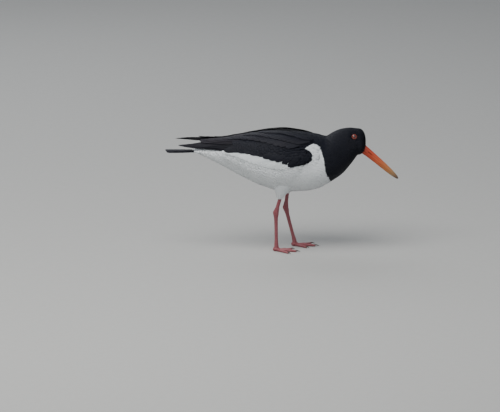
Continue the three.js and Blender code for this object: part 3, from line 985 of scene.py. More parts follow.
@dataclass(frozen=True)
class PlumageFinish:
    """Black and white feathers, with barbs that slant away from a shaft."""

    deep_black: Triple = (0.0026, 0.0036, 0.0080)
    soft_black: Triple = (0.0052, 0.0066, 0.0128)
    brown: Triple = (0.016, 0.011, 0.016)
    clean_white: Triple = (0.84, 0.865, 0.875)
    # The grey of white feathers: partly random tone and the real grey of downy roots, partly painted shade.
    grey_white: Triple = (0.56, 0.60, 0.61)
    barbs_per_cm: float = 24.0
    barb_slant: float = 22.0
    barb_waver: float = 1.6
    shaft_width: float = 0.03
    patch_scale: float = 9.0
    roughness: Pair = (0.55, 0.80)

    def build(self) -> bpy.types.Material:
        """Makes the material.

        Returns:
            The material.
        """
        made = Shader("plumage")
        white, tone = made.mark(), made.value("tone")
        worn, tipward = made.value("worn"), made.value("tipward")
        vane = made.add("UVMap", {"uv_map": VANE_MAP}).outputs[0]
        place = made.add("SeparateXYZ", _0=vane)
        aside = made.math("ABSOLUTE", place.outputs["X"])
        slant = made.math("MULTIPLY", aside, self.barb_slant)
        rank = made.math("MULTIPLY_ADD", place.outputs["Y"], self.barbs_per_cm, slant)
        noise = made.add("TexNoise", Vector=vane, Scale=self.patch_scale, Detail=3.0, Roughness=0.6)
        fine = noise.outputs["Fac"]
        wavered = made.math("MULTIPLY_ADD", fine, self.barb_waver, rank)
        barbs = made.math("SINE", made.math("MULTIPLY", wavered, 2 * math.pi))
        patchy = made.math("MULTIPLY_ADD", fine, 0.5, made.math("MULTIPLY", tone, 0.7))
        black = made.blend(patchy, self.deep_black, self.soft_black)
        # On black feathers the per-feather value is wear: a brown fade, strongest at the tip.
        faded = made.math("MULTIPLY", worn, made.math("MULTIPLY_ADD", tipward, 0.6, 0.4))
        black = made.blend(faded, black, self.brown)
        # White feathers grow greyer toward the root: partly the real grey of their downy bases, partly
        # painted shade where the feather in front covers them.
        hidden = made.math("SUBTRACT", 1.0, tipward)
        shade = made.math("MULTIPLY_ADD", hidden, 0.25, made.math("MULTIPLY", patchy, 0.15))
        # The same value greys white feathers as painted shade, such as the shaded grey of the white wing
        # band.
        shade = made.math("ADD", shade, worn)
        pale = made.blend(shade, self.clean_white, self.grey_white)
        made.set(Base_Color=made.blend(white, black, pale))
        low, high = self.roughness
        made.set(Roughness=made.math("MULTIPLY_ADD", white, high - low, low))
        made.set(Specular_IOR_Level=0.2)
        shaft = made.math("SUBTRACT", 1.0, made.math("DIVIDE", aside, self.shaft_width))
        shaft = made.math("MAXIMUM", shaft, 0.0)
        ridge = made.math("MULTIPLY_ADD", barbs, 0.5, made.math("MULTIPLY", fine, 0.8))
        made.bump(made.math("MULTIPLY_ADD", shaft, 1.5, ridge), 0.3, 0.0002)
        return made.material


@dataclass(frozen=True)
class SkinFinish:
    """The skin under the feathers, in the colours of the plumage over it."""

    black: Triple = (0.003, 0.0036, 0.006)
    white: Triple = (0.62, 0.64, 0.65)
    shade: float = 0.75
    fluff_scale: float = 900.0

    def build(self) -> bpy.types.Material:
        """Makes the material.

        Returns:
            The material.
        """
        made = Shader("down")
        fluff = made.noise(self.fluff_scale, Detail=4.0, Roughness=0.7)
        grey = made.blend(fluff, tuple(c * self.shade for c in self.white), self.white)
        made.set(Base_Color=made.blend(made.mark(), self.black, grey), Roughness=0.9)
        made.bump(fluff, 0.6, 0.0006)
        return made.material


@dataclass(frozen=True)
class BillFinish:
    """Horn that runs from orange red at the face to dusky yellow at the tip."""

    from_face_to_tip: Stops = (
        (0.0, (0.52, 0.040, 0.014)),
        (0.22, (0.54, 0.047, 0.014)),
        (0.45, (0.52, 0.085, 0.022)),
        (0.72, (0.44, 0.160, 0.042)),
        (0.88, (0.28, 0.180, 0.078)),
        (1.0, (0.07, 0.064, 0.048)),
    )
    # The nostril colour is painted shade: a dark laid on the shallow dent of the slit in place of the shade
    # inside the opening.
    nostril: Triple = (0.10, 0.012, 0.006)
    # On the bill this colour is only wear: paler rubbed horn that the grain mixes in.
    worn: Triple = (0.36, 0.11, 0.045)
    wear: float = 0.35
    grain_scale: float = 260.0
    streak: float = 0.08

    def build(self) -> bpy.types.Material:
        """Makes the material.

        Returns:
            The material.
        """
        made = Shader("bill")
        grain = made.noise(self.grain_scale, Detail=4.0, Roughness=0.65)
        streaks = made.add("TexNoise", Vector=made.add("UVMap", {"uv_map": VANE_MAP}).outputs[0], Scale=3.0)
        along = made.math("MULTIPLY_ADD", streaks.outputs["Fac"], self.streak, made.value("along"))
        # Where the pit mask marks the nostril slit, the horn is darkened as painted shade.
        deep = made.blend(made.value("pit"), made.ramp(along, self.from_face_to_tip), self.nostril)
        made.set(Base_Color=made.blend(made.math("MULTIPLY", grain, self.wear), deep, self.worn))
        made.set(Roughness=made.math("MULTIPLY_ADD", grain, 0.18, 0.34))
        made.set(Subsurface_Weight=0.12, Subsurface_Scale=0.0015, Subsurface_Radius=(1.0, 0.35, 0.15))
        made.bump(grain, 0.12, 0.0003)
        return made.material


@dataclass(frozen=True)
class LegFinish:
    """Scaly skin of a dull reddish pink."""

    plate: Triple = (0.26, 0.060, 0.076)
    groove: Triple = (0.19, 0.042, 0.054)
    pale: Triple = (0.33, 0.115, 0.122)
    cell_scale: float = 1150.0
    blotch_scale: float = 120.0

    def build(self) -> bpy.types.Material:
        """Makes the material.

        Returns:
            The material.
        """
        made = Shader("leg_skin")
        coords = made.add("TexCoord").outputs["Object"]
        edges = {"feature": "DISTANCE_TO_EDGE"}
        cells = made.add("TexVoronoi", edges, Vector=coords, Scale=self.cell_scale)
        edge = made.math("MINIMUM", made.math("MULTIPLY", cells.outputs["Distance"], 7.0), 1.0)
        raised = made.math("MAXIMUM", made.value("scute"), 0.0)
        on_scute = made.math("GREATER_THAN", made.value("scute"), -0.5)
        bare = made.math("MULTIPLY", edge, made.math("SUBTRACT", 1.0, on_scute))
        plate = made.math("MULTIPLY_ADD", raised, on_scute, bare)
        skin = made.blend(made.noise(self.blotch_scale, Detail=3.0), self.plate, self.pale)
        made.set(Base_Color=made.blend(plate, self.groove, skin))
        made.set(Roughness=0.5, Specular_IOR_Level=0.4)
        made.set(Subsurface_Weight=0.1, Subsurface_Scale=0.001)
        made.bump(plate, 0.4, 0.0002)
        return made.material


@dataclass(frozen=True)
class HornFinish:
    """Dark horn of the claws."""

    colour: Triple = (0.028, 0.020, 0.019)
    root: Triple = (0.12, 0.06, 0.055)
    grain_scale: float = 700.0

    def build(self) -> bpy.types.Material:
        """Makes the material.

        Returns:
            The material.
        """
        made = Shader("claw")
        made.set(Base_Color=made.blend(made.value("along"), self.root, self.colour), Roughness=0.32)
        made.bump(made.noise(self.grain_scale), 0.15, 0.0001)
        return made.material


@dataclass(frozen=True)
class EyeFinish:
    """A dark red iris round a black pupil, under a clear wet gloss."""

    from_pupil_out: Stops = (
        (0.0, (0.002, 0.0015, 0.0015)),
        (0.47, (0.002, 0.0015, 0.0015)),
        (0.51, (0.12, 0.008, 0.003)),
        (0.68, (0.20, 0.013, 0.004)),
        (0.84, (0.10, 0.006, 0.003)),
        (1.0, (0.02, 0.004, 0.003)),
    )
    fleck: float = 0.05
    fleck_scale: float = 1500.0

    def build(self) -> bpy.types.Material:
        """Makes the material.

        Returns:
            The material.
        """
        made = Shader("eye")
        place = made.math("MULTIPLY_ADD", made.noise(self.fleck_scale), self.fleck, made.value("ring"))
        made.set(Base_Color=made.ramp(place, self.from_pupil_out))
        made.set(Roughness=0.12, Coat_Weight=0.8, Coat_Roughness=0.03)
        return made.material


@dataclass(frozen=True)
class LidFinish:
    """The bare orange-red skin round the eye."""

    colour: Triple = (0.21, 0.028, 0.011)
    dull: Triple = (0.17, 0.022, 0.011)
    bead_scale: float = 1100.0

    def build(self) -> bpy.types.Material:
        """Makes the material.

        Returns:
            The material.
        """
        made = Shader("eye_ring")
        bead = made.noise(self.bead_scale)
        made.set(Base_Color=made.blend(bead, self.colour, self.dull), Roughness=0.5)
        made.bump(bead, 0.4, 0.0002)
        return made.material


BILL_BASE: Pair = (129.05, 162.3)
BILL_DROP = math.radians(40)
BILL_LENGTH = 74.0
# Along the bill: height of the ridge above the mouth line, depth of the keel below it, half width.
BILL_STATIONS: Table = (
    (-9, 7.4, 5.3, 4.8),
    (0, 8.3, 5.7, 5.2),
    (10, 8.1, 5, 4.4),
    (25, 7.4, 4.3, 3.2),
    (40, 6.6, 4, 2.5),
    (52, 5.7, 3.7, 2),
    (63, 4.3, 3, 1.6),
    (71, 2.5, 1.9, 1.2),
    (74, 1.2, 1, 0.9),
)
BILL_CURVES = curves_of(BILL_STATIONS)
MOUTH_GAP = 0.35
EYE_PLACE: Pair = (115.6, 186.0)
EYE_RADIUS = 4.8
EYE_SUNK = 2.7


def bill_point(along: Array, above: Array, side: Array) -> Array:
    """Points of the bill from their place along it, above the mouth line and to the side.

    Args:
        along: distances from the bill's root.
        above: heights over the mouth line.
        side: distances to the left.

    Returns:
        The points.
    """
    x = BILL_BASE[0] + along * math.cos(BILL_DROP) + above * math.sin(BILL_DROP)
    z = BILL_BASE[1] - along * math.sin(BILL_DROP) + above * math.cos(BILL_DROP)
    return np.stack(np.broadcast_arrays(x, side, z), -1)


def bill_place(points: Array) -> tuple[Array, Array, Array]:
    """How far points are along the bill, above its mouth line and to the side.

    Args:
        points: the points.

    Returns:
        The three distances of each point, in that order.
    """
    dx, dz = points[..., 0] - BILL_BASE[0], points[..., 2] - BILL_BASE[1]
    along = dx * math.cos(BILL_DROP) - dz * math.sin(BILL_DROP)
    above = dx * math.sin(BILL_DROP) + dz * math.cos(BILL_DROP)
    return along, above, points[..., 1]


@dataclass
class Bill:
    """The two mandibles, with the nostrils in their groove."""

    rings: int = 190
    around: int = 60
    root: float = 7.0
    groove_at: float = 3.1
    groove_span: Pair = (2.0, 40.0)
    groove_deep: float = 0.75
    nostril_span: Pair = (8.5, 18.5)
    nostril_deep: float = 1.2
    nostril_half: float = 0.5
    arch: float = 0.8
    pinch: float = 0.93

    def mandible(self, upper: bool) -> MeshData:
        """One mandible.

        Args:
            upper: whether it is the upper one.

        Returns:
            Its mesh, with how far along each point is and whether it lies in the nostril.
        """
        sign = 1 if upper else -1
        along = np.linspace(-self.root, BILL_LENGTH, self.rings)[:, None]
        turn = np.linspace(0, math.pi, self.around)[None]
        ridge, keel, half = (curve(along) for curve in BILL_CURVES)
        crest = ridge if upper else keel
        above = mix(MOUTH_GAP / 2, crest, np.sin(turn) ** self.arch)
        side = half * np.cos(turn) * mix(1, self.pinch, smooth(0, 1, np.sin(turn)))
        pit = np.zeros_like(side)
        if upper:
            low, high = self.groove_span
            reach = smooth(low, low + 5, along) * (1 - smooth(high - 16, high, along))
            line = self.groove_at - 0.012 * along
            groove = np.exp(-(((above - line) / 1.0) ** 2)) * reach
            start, end = self.nostril_span
            slot = smooth(start, start + 1.5, along) * (1 - smooth(end - 2.5, end, along))
            # This mask dents the nostril slit and, in the bill's finish, darkens it as painted shade.
            pit = slot * np.exp(-(((above - line) / self.nostril_half) ** 6)) * (np.abs(side) > 0.8)
            inward = groove * self.groove_deep + pit * self.nostril_deep
            side = np.sign(side) * np.maximum(np.abs(side) - inward, 0.5 * np.abs(side))
        bottom = np.full_like(side[:, :1], MOUTH_GAP / 2) * sign
        points = bill_point(along, sign * above, side)
        floor = bill_point(along, bottom, 0 * along)
        ring = np.concatenate([points, floor], axis=1)
        data = capped_tube(ring)
        if upper:
            data.faces = data.faces[:, ::-1]
        share = np.clip(along / BILL_LENGTH, 0, 1) + 0 * side
        share = np.concatenate([share, share[:, :1]], axis=1)
        pits = np.concatenate([pit, pit[:, :1] * 0], axis=1)
        data.attributes = {"along": with_caps(share).ravel(), "pit": with_caps(pits).ravel()}
        around = np.linspace(0, 1, self.around + 1)[None] + 0 * share
        places = np.stack([around * 0.48 + (0.0 if upper else 0.5), share], -1)
        places = with_caps(places).reshape(-1, 2)
        data.maps = {BAKE_MAP: places, VANE_MAP: places * np.array([30.0, 2.0])}
        return data

    def build(self, material: bpy.types.Material) -> None:
        """Makes both mandibles.

        Args:
            material: the bill's finish.
        """
        for name, upper in (("bill_upper", True), ("bill_lower", False)):
            add_piece(name + "_horn", self.mandible(upper), material, Fitting("bill", (name,)))


class EyeSeat:
    """Where one eye sits in the head."""

    def __init__(self, body: BodySurface, side: Side) -> None:
        """Finds the eye's centre and the way it looks.

        Args:
            body: the head's surface.
            side: the bird's side.
        """
        x, z = (np.array(v) for v in EYE_PLACE)
        angle = side.value * body.former.angle_at(x, z)
        along = body.along(x)
        self.outward = body.normals(along, angle)
        self.surface = body.base(along, angle)
        self.centre = self.surface - self.outward * EYE_SUNK

    def points(self, rise: Array, reach: Array, turn: Array) -> Array:
        """Points round the way the eye looks.

        Args:
            rise: heights over the eyeball's centre.
            reach: distances from the line of sight.
            turn: angles round it.

        Returns:
            The points.
        """
        a = np.cross(self.outward, np.array([0.0, 0.0, 1.0]))
        a = a / np.linalg.norm(a)
        b = np.cross(self.outward, a)
        middle = self.centre + rise[..., None] * self.outward
        return middle + (reach * np.cos(turn))[..., None] * a + (reach * np.sin(turn))[..., None] * b


@dataclass
class Eye:
    """An eyeball with a raised cornea, and the ring of bare skin round it."""

    seat: EyeSeat
    side: Side
    rings: int = 28
    around: int = 40
    iris: float = 3.9
    cornea: float = 0.35
    ring_radius: float = 3.75
    ring_thick: float = 0.45
    ring_parts: int = 72
    ring_sides: int = 14

    def ball(self) -> MeshData:
        """The eyeball, with each point's distance from the pupil's middle as a share of the iris.

        Returns:
            The eyeball's mesh.
        """
        polar = np.linspace(0.02, math.pi - 0.02, self.rings)[:, None]
        turn = full_turn(self.around)
        radius = EYE_RADIUS + self.cornea * np.exp(-((polar / 0.75) ** 4))
        wide = radius * np.sin(polar)
        data = capped_tube(self.seat.points(radius * np.cos(polar) + 0 * turn, wide, turn))
        share = np.where(polar < math.pi / 2, np.clip(wide / self.iris, 0, 1), 1.0) + 0 * turn
        data.attributes = {"ring": with_caps(share).ravel()}
        return data

    def ring(self) -> MeshData:
        """The eye ring, a slightly uneven roll of skin.

        Returns:
            The ring's mesh.
        """
        turn, roll = full_turn(self.ring_parts).T, full_turn(self.ring_sides)
        thick = self.ring_thick * (1 + 0.05 * np.sin(turn * 11) + 0.04 * np.sin(turn * 23 + 1))
        reach = self.ring_radius + thick * np.cos(roll)
        rise = math.sqrt(EYE_RADIUS**2 - self.ring_radius**2) + thick * 0.8 * np.sin(roll)
        points = self.seat.points(rise, reach, turn)
        faces = tube(np.concatenate([points, points[:1]]))
        return MeshData(points.reshape(-1, 3), faces % (self.ring_parts * self.ring_sides))

    def build(self, ball: bpy.types.Material, ring: bpy.types.Material) -> None:
        """Makes the eyeball and its ring.

        Args:
            ball: the eyeball's finish.
            ring: the ring's finish.
        """
        name = f"eye_{self.side.label}"
        add_piece(name + "_ball", self.ball(), ball, Fitting("eye", (name,)))
        add_piece(name + "_ring", self.ring(), ring, Fitting("bill"))


THIGH_STATIONS: Table = ((0.0, 17, 14), (0.5, 14, 11.5), (0.8, 9, 8), (1.0, 5.4, 5.2), (1.1, 4, 4))


def thigh_surface(plan: LegPlan) -> LimbSurface:
    """The feathered thigh of a leg.

    Args:
        plan: the leg's places.

    Returns:
        The surface of its feathers.
    """
    hip, cuff, ankle = (np.array(p, float) for p in (plan.hip, plan.cuff, plan.ankle))
    centres = [mix(hip, cuff, t) if t <= 1 else mix(cuff, ankle, t - 1) for t, _, _ in THIGH_STATIONS]
    return LimbSurface(centres, [s[1] for s in THIGH_STATIONS], [s[2] for s in THIGH_STATIONS])


def remeshed(name: str, data: MeshData, voxel: float, smoothing: int) -> MeshData:
    """Overlapping closed meshes as one even surface.

    Args:
        name: a name for the work.
        data: the meshes, joined.
        voxel: the size of the new faces in millimetres.
        smoothing: how many times the surface is eased.

    Returns:
        The new mesh.
    """
    work = place_object(name, make_mesh(name, data))
    remesh = work.modifiers.new("even", "REMESH")
    remesh.mode = "VOXEL"
    remesh.voxel_size = voxel * MM
    ease = work.modifiers.new("ease", "SMOOTH")
    ease.factor = 0.5
    ease.iterations = smoothing
    graph = bpy.context.evaluated_depsgraph_get()
    made = bpy.data.meshes.new_from_object(work.evaluated_get(graph))
    points = np.zeros(len(made.vertices) * 3, np.float32)
    made.vertices.foreach_get("co", points)
    quads = np.zeros(len(made.polygons) * 4, np.int32)
    made.polygons.foreach_get("vertices", quads)
    bpy.data.objects.remove(work)
    bpy.data.meshes.remove(made)
    return MeshData(points.reshape(-1, 3).astype(float) / MM, quads.reshape(-1, 4))


@dataclass
class Skin:
    """The one skin of torso, neck, head and thighs, inside the coat."""

    body: BodySurface
    markings: Markings
    rows: int = 260
    around: int = 120
    voxel: float = 1.5
    easing: int = 2
    start: float = 0.6
    depth_body: float = 1.9
    depth_head: float = 0.8
    limb_around: int = 40
    limb_depth: float = 1.0

    def build(self, material: bpy.types.Material) -> None:
        """Makes the skin.

        Args:
            material: the skin's finish.
        """
        along = np.linspace(self.start, self.body.run[-1], self.rows)[:, None]
        angle = full_turn(self.around)
        depth = mix(self.depth_head, self.depth_body, smooth(*NECK_ZONE, along))
        parts = [capped_tube(self.body.at(along, angle, -depth))]
        for plan in LEGS:
            limb = thigh_surface(plan)
            down = np.linspace(0, limb.length, self.limb_around)[:, None]
            parts.append(capped_tube(limb.at(down, full_turn(self.limb_around), -self.limb_depth)))
        data = remeshed("skin_work", joined(parts), self.voxel, self.easing)
        data.attributes = {"white": self.markings.white(data.points)}
        nodes = ("torso", "neck", "head", "leg_left_thigh", "leg_right_thigh")
        add_piece("skin", data, material, Fitting("plumage_white", nodes))


class Region(Enum):
    """The parts of the body's coat, each a piece of its own."""

    HEAD = "head"
    NECK = "neck"
    BREAST = "breast"
    FLANK_LEFT = "flank_left"
    FLANK_RIGHT = "flank_right"
    REAR = "rear"


COAT_GRID = LeafGrid(4, 6)
COAT_GRIDS: dict[Region, LeafGrid] = {Region.HEAD: LeafGrid(3, 2), Region.NECK: LeafGrid(4, 4)}
DOWNY = LeafShape(reach=1.6, power=1.8, ragged=0.1, fray=0.25)
LOOSE = LeafShape(reach=1.6, power=1.8, ragged=0.1, fray=0.65)
CUFF = LeafShape(reach=1.6, power=1.8, ragged=0.12, fray=0.7)


@dataclass
class Coat:
    """The small feathers of head, neck and body, in staggered rows that lie back along it."""

    body: BodySurface
    markings: Markings
    wings: dict[Side, WingSurface]
    seats: list[EyeSeat]
    random: np.random.Generator
    spacing: Table = ((0, 0.75), (14, 0.95), (36, 1.2), (60, 1.75), (90, 2.4), (140, 2.8), (300, 3.2))
    length: Table = ((0, 2.2), (14, 3.4), (36, 5.0), (60, 7.2), (90, 10.5), (140, 12.5), (300, 16))
    half_share: Pair = (0.21, 0.27)
    root_depth: Pair = (0.6, 1.3)
    tip_height: Pair = (0.12, 0.3)
    swerve: float = 0.05
    eye_clear: float = 4.35
    eye_shorten: float = 0.62
    lap_sweep: float = math.radians(22)
    lap_rear: Pair = (-102.0, -72.0)
    lap_raise: Pair = (2.8, 4.5)
    front_raise: Pair = (0.5, 3.6)
    front_reach: Pair = (3.0, 5.0)
    hidden_rear: float = -58.0
    hidden_share: Pair = (0.07, 0.93)
    bands: tuple[float, ...] = (0.0, 44.0, 84.0, 140.0, 250.0)

    def rows(self) -> Leaves:
        """Every feather of the coat, before any is left out.

        Returns:
            The feathers.
        """
        spacing, length = SmoothCurve(self.spacing), SmoothCurve(self.length)
        ring = np.linspace(-math.pi, math.pi, 721)
        along, row = 1.0, 0
        found: list[Array] = []
        while along < self.body.run[-1] - 2:
            gap = float(spacing(np.array(along)))
            line = self.body.base(np.full_like(ring, along), ring)
            run = np.concatenate([[0], np.cumsum(np.linalg.norm(np.diff(line, axis=0), axis=1))])
            count = max(int(run[-1] / (gap * 1.05)), 4)
            shuffle = self.random.uniform(-0.28, 0.28, count)
            wanted = (np.arange(count) + 0.5 * (row % 2) + 0.25 + shuffle) / count % 1.0
            angles = np.interp(wanted * run[-1], run, ring)
            back = along + self.random.uniform(-0.3, 0.3, count) * gap
            found.append(np.stack([back, angles], -1))
            along += gap
            row += 1
        root = np.concatenate(found)
        count = len(root)
        long = length(root[:, 0]) * self.random.uniform(0.88, 1.12, count)
        drift = self.random.normal(0, self.swerve, count)
        tip = root + np.stack([long, 0 * long], -1)
        tip[:, 1] += drift * long / self.body.width(root[:, 0] + 2, root[:, 1])
        end = self.body.run[-1] + self.random.uniform(-3, 2, count)
        tip[:, 0] = np.minimum(tip[:, 0], np.maximum(end, root[:, 0] + 4))
        low = smooth(*NECK_ZONE, root[:, 0])
        out = np.stack([-mix(*self.root_depth, low), mix(*self.tip_height, low)], -1)
        out[:, 1] += self.random.uniform(-0.12, 0.2, count) * mix(0.5, 1, low)
        return Leaves(
            root=root,
            tip=tip,
            half=long * mix(*self.half_share, low),
            out=out,
            tone=self.random.random(count),
            worn=0.1 * self.random.random(count),
            mark=self.markings.white,
            stray=0.45,
            ridge=0.08,
            thick=0.16,
        )

    def clear_of_bill(self, leaves: Leaves) -> Array:
        """Marks the feathers that don't grow inside the bill.

        Args:
            leaves: the feathers.

        Returns:
            Whether each one is kept.
        """
        root = self.body.base(leaves.root[:, 0], leaves.root[:, 1])
        along, above, side = bill_place(root)
        ridge, keel, half = (curve(along) for curve in BILL_CURVES)
        inside = (above < ridge + 0.2) & (above > -keel - 0.2) & (np.abs(side) < half + 0.1) & (along > -6)
        return ~inside

    def clear_of_eyes(self, leaves: Leaves) -> Array:
        """Shortens the feathers in front of an eye, and marks those that keep clear of it.

        Args:
            leaves: the feathers, some of which are shortened.

        Returns:
            Whether each one is kept.
        """
        keep = np.ones(len(leaves.half), bool)
        for seat in self.seats:
            for t in (0.0, 0.35, 0.7, 1.0):
                at = self.body.base(mix(leaves.root[:, 0], leaves.tip[:, 0], t), leaves.root[:, 1])
                near = np.linalg.norm(at - seat.surface, axis=1) < self.eye_clear
                if t < 0.5:
                    keep &= ~near
                else:
                    shrink = np.where(near, t * self.eye_shorten, 1.0)
                    leaves.tip = leaves.root + (leaves.tip - leaves.root) * shrink[:, None]
        return keep

    def share_of_wing(self, place: Array, angle: Array) -> Array:
        """How far down the wing's edges an angle lies, 0 at the upper edge and 1 at the lower."""
        upper, lower = self.wings[Side.LEFT].edges(place)
        return (np.abs(angle) - upper) / (lower - upper)

    def clear_of_wings(self, leaves: Leaves) -> Array:
        """Lets feathers lap over a wing's front and lower edges, and marks those that none hides.

        Args:
            leaves: the feathers, some of which are raised or turned.

        Returns:
            Whether each one is kept.
        """
        root_x = self.body.place(leaves.root[:, 0])
        share = self.share_of_wing(root_x, leaves.root[:, 1])
        below = smooth(1.7, 1.15, share) * smooth(0.86, 0.94, share)
        below = below * smooth(*self.lap_rear, root_x) * smooth(42, 12, root_x)
        long = leaves.tip[:, 0] - leaves.root[:, 0]
        turn = math.tan(self.lap_sweep) * long / self.body.width(leaves.root[:, 0], leaves.root[:, 1])
        leaves.tip[:, 1] -= np.sign(leaves.root[:, 1]) * turn * below
        tip_x = self.body.place(leaves.tip[:, 0])
        tip_share = self.share_of_wing(tip_x, leaves.tip[:, 1])
        shown = smooth(*self.lap_rear, root_x) * smooth(44, 24, root_x) * (share > 0.86)
        leaves.out[:, 1] += self.lap_raise[1] * smooth(1.5, 1.0, tip_share) * shown
        leaves.out[:, 0] += self.lap_raise[0] * smooth(1.45, 1.02, share) * shown
        behind, ahead = self.front_reach
        covered = root_x < WING_FRONT - behind
        upper, lower = self.hidden_share
        hidden = covered & (root_x > self.hidden_rear) & (share > upper) & (share < lower)
        lap = ~covered & (tip_x < WING_FRONT + ahead)
        within = smooth(-0.10, 0.12, share) * smooth(1.5, 0.85, share)
        leaves.out[:, 0] += np.where(lap, self.front_raise[0] * within, 0)
        leaves.out[:, 1] += np.where(lap, self.front_raise[1] * within, 0)
        return ~hidden

    def region(self, leaves: Leaves, region: Region) -> Array:
        """Marks the feathers of one region.

        Args:
            leaves: the feathers.
            region: the wanted region.

        Returns:
            Whether each one is in it.
        """
        along, angle = leaves.root[:, 0], leaves.root[:, 1]
        band = np.searchsorted(self.bands, along, side="right") - 1
        chosen = {
            Region.HEAD: band == 0,
            Region.NECK: band == 1,
            Region.BREAST: band == 2,
            Region.FLANK_LEFT: (band == 3) & (angle >= 0),
            Region.FLANK_RIGHT: (band == 3) & (angle < 0),
            Region.REAR: band == 4,
        }
        return chosen[region]

    def build(self, material: bpy.types.Material) -> None:
        """Makes the coat, one piece for each region.

        Args:
            material: the plumage.
        """
        leaves = self.rows()
        keep = self.clear_of_bill(leaves) & self.clear_of_eyes(leaves) & self.clear_of_wings(leaves)
        leaves = leaves.pick(keep)
        for region in Region:
            part = leaves.pick(self.region(leaves, region))
            grid = COAT_GRIDS.get(region, COAT_GRID)
            data = lay(self.body, part, grid, DOWNY if region is Region.HEAD else LOOSE, self.random)
            places = body_map(part.root[:, 0], part.root[:, 1], self.body.run[-1])
            data.maps[BAKE_MAP] = patch_map(places, grid)
            slot = "plumage_black" if region in (Region.HEAD, Region.NECK) else "plumage_white"
            add_piece(f"coat_{region.value}", data, material, Fitting(slot))


@dataclass
class ThighCoat:
    """The short feathers that run down each thigh to a cuff round the bare leg."""

    plan: LegPlan
    random: np.random.Generator
    spacing: float = 1.8
    first_row: float = 10.0
    last_row: float = 1.5
    length: Pair = (8.5, 5.0)
    overhang: float = 0.8
    half_share: float = 0.24

    def build(self, material: bpy.types.Material) -> None:
        """Makes the feathers.

        Args:
            material: the plumage.
        """
        limb = thigh_surface(self.plan)
        found: list[Array] = []
        for row, along in enumerate(np.arange(self.first_row, limb.length - self.last_row, self.spacing)):
            around = 2 * math.pi * float(limb.wide(np.array(along)))
            count = max(int(around / self.spacing), 8)
            shuffled = np.arange(count) + 0.5 * (row % 2) + self.random.uniform(-0.2, 0.2, count)
            found.append(np.stack([np.full(count, along), shuffled / count * 2 * math.pi], -1))
        root = np.concatenate(found)
        count = len(root)
        down = root[:, 0] / limb.length
        long = mix(*self.length, down) * self.random.uniform(0.85, 1.15, count)
        tip = np.stack([np.minimum(root[:, 0] + long, limb.length + self.overhang), root[:, 1]], -1)
        leaves = Leaves(
            root=root,
            tip=tip,
            half=long * self.half_share,
            out=np.stack([np.full(count, -0.9), mix(0.25, -0.1, smooth(0.75, 1.0, down))], -1),
            tone=self.random.random(count),
            worn=np.zeros(count),
            mark=all_white,
            ridge=0.08,
            thick=0.16,
        )
        data = lay(limb, leaves, COAT_GRID, CUFF, self.random)
        shift = 0.25 if self.plan.side is Side.LEFT else 0.75
        places = np.stack([shift + 0.2 * (root[:, 1] / math.pi - 1), 0.1 + 0.8 * down], -1)
        data.maps[BAKE_MAP] = patch_map(places, COAT_GRID)
        add_piece(f"coat_thigh_{self.plan.side.label}", data, material, Fitting("plumage_white"))


FLIGHT = LeafShape(root=0.75, widest=0.8, tip=0.72, reach=3.4, power=1.5, ragged=0.03, fray=0.05)
BROAD = LeafShape(root=0.6, widest=0.66, tip=0.82, reach=1.15, power=2.4, ragged=0.04, fray=0.14)
SQUARE = LeafShape(root=0.7, widest=0.8, tip=0.9, reach=0.9, power=2.6, ragged=0.03, fray=0.10)
SCALE = LeafShape(root=0.6, widest=0.55, tip=0.82, reach=1.15, power=2.2, ragged=0.05, fray=0.25)


@dataclass(frozen=True)
class Tier:
    """One tier of a wing's feathers, from its first feather to its last.

    Roots and tips are pairs of X and the share from the wing's upper edge to its lower one.
    """

    name: str
    count: int
    roots: tuple[Pair, Pair]
    tips: tuple[Pair, Pair]
    half: Pair
    out: Pair
    tilt: float = 0.0
    layer: float = 0.0
    white: bool = False
    # Wear on black feathers; on white feathers the same value is painted shade.
    worn: float = 0.12
    on_white_edge: bool = False
    grid: LeafGrid = LeafGrid(10, 8)
    shape: LeafShape = BROAD
    bow: float = 0.0


# The white secondaries and greater coverts get a high per-feather value that greys them as painted shade
# along the wing's white band.
WING_TIERS: tuple[Tier, ...] = (
    Tier("primaries", 8, ((-48, 0.76), (-48, 0.42)), ((-171, 0.83), (-114, 0.30)), (5.0, 5.6), (-3.0, -2.4),
         layer=0.28, worn=0.3, grid=LeafGrid(24, 8), shape=FLIGHT, bow=0.9),
    Tier("secondaries", 9, ((-40, 0.86), (-6, 0.88)), ((-97, 1.0), (-48, 1.0)), (4.4, 5.4), (-1.3, -0.9),
         layer=0.14, white=True, worn=0.55, grid=LeafGrid(16, 8)),
    Tier("greater_coverts", 13, ((-54, 0.68), (16, 0.84)), ((-91, 0.95), (-4, 0.95)), (4.6, 4.8),
         (-0.5, 0.3), tilt=0.12, layer=0.05, white=True, worn=0.5, grid=LeafGrid(12, 8)),
    Tier("median_coverts", 11, ((-46, 0.40), (40, 0.66)), ((-92, 0), (9, 0)), (6.2, 5.6), (-0.3, 0.45),
         tilt=0.12, layer=0.06, on_white_edge=True, grid=LeafGrid(12, 8)),
    Tier("tertials", 5, ((-28, 0.42), (-16, 0.14)), ((-134, 0.30), (-82, 0.12)), (8.0, 7.4), (-1.3, 0.1),
         layer=0.25, worn=0.5, grid=LeafGrid(24, 10), bow=0.4),
    Tier("scapulars_long", 10, ((-34, 0.12), (42, 0.30)), ((-88, 0.20), (6, 0.50)), (7.2, 6.2), (0.0, 0.9),
         tilt=0.08, layer=0.1, worn=0.2, grid=LeafGrid(14, 8)),
    Tier("scapulars_short", 13, ((-26, 0.07), (47, 0.22)), ((-62, 0.12), (20, 0.40)), (6.2, 5.2),
         (0.4, 1.3), tilt=0.08, layer=0.09, worn=0.2),
    Tier("mantle_edge", 15, ((-14, 0.02), (50, 0.10)), ((-38, 0.06), (30, 0.22)), (4.6, 4.0), (0.9, 1.7),
         tilt=0.06, layer=0.08, worn=0.15),
)


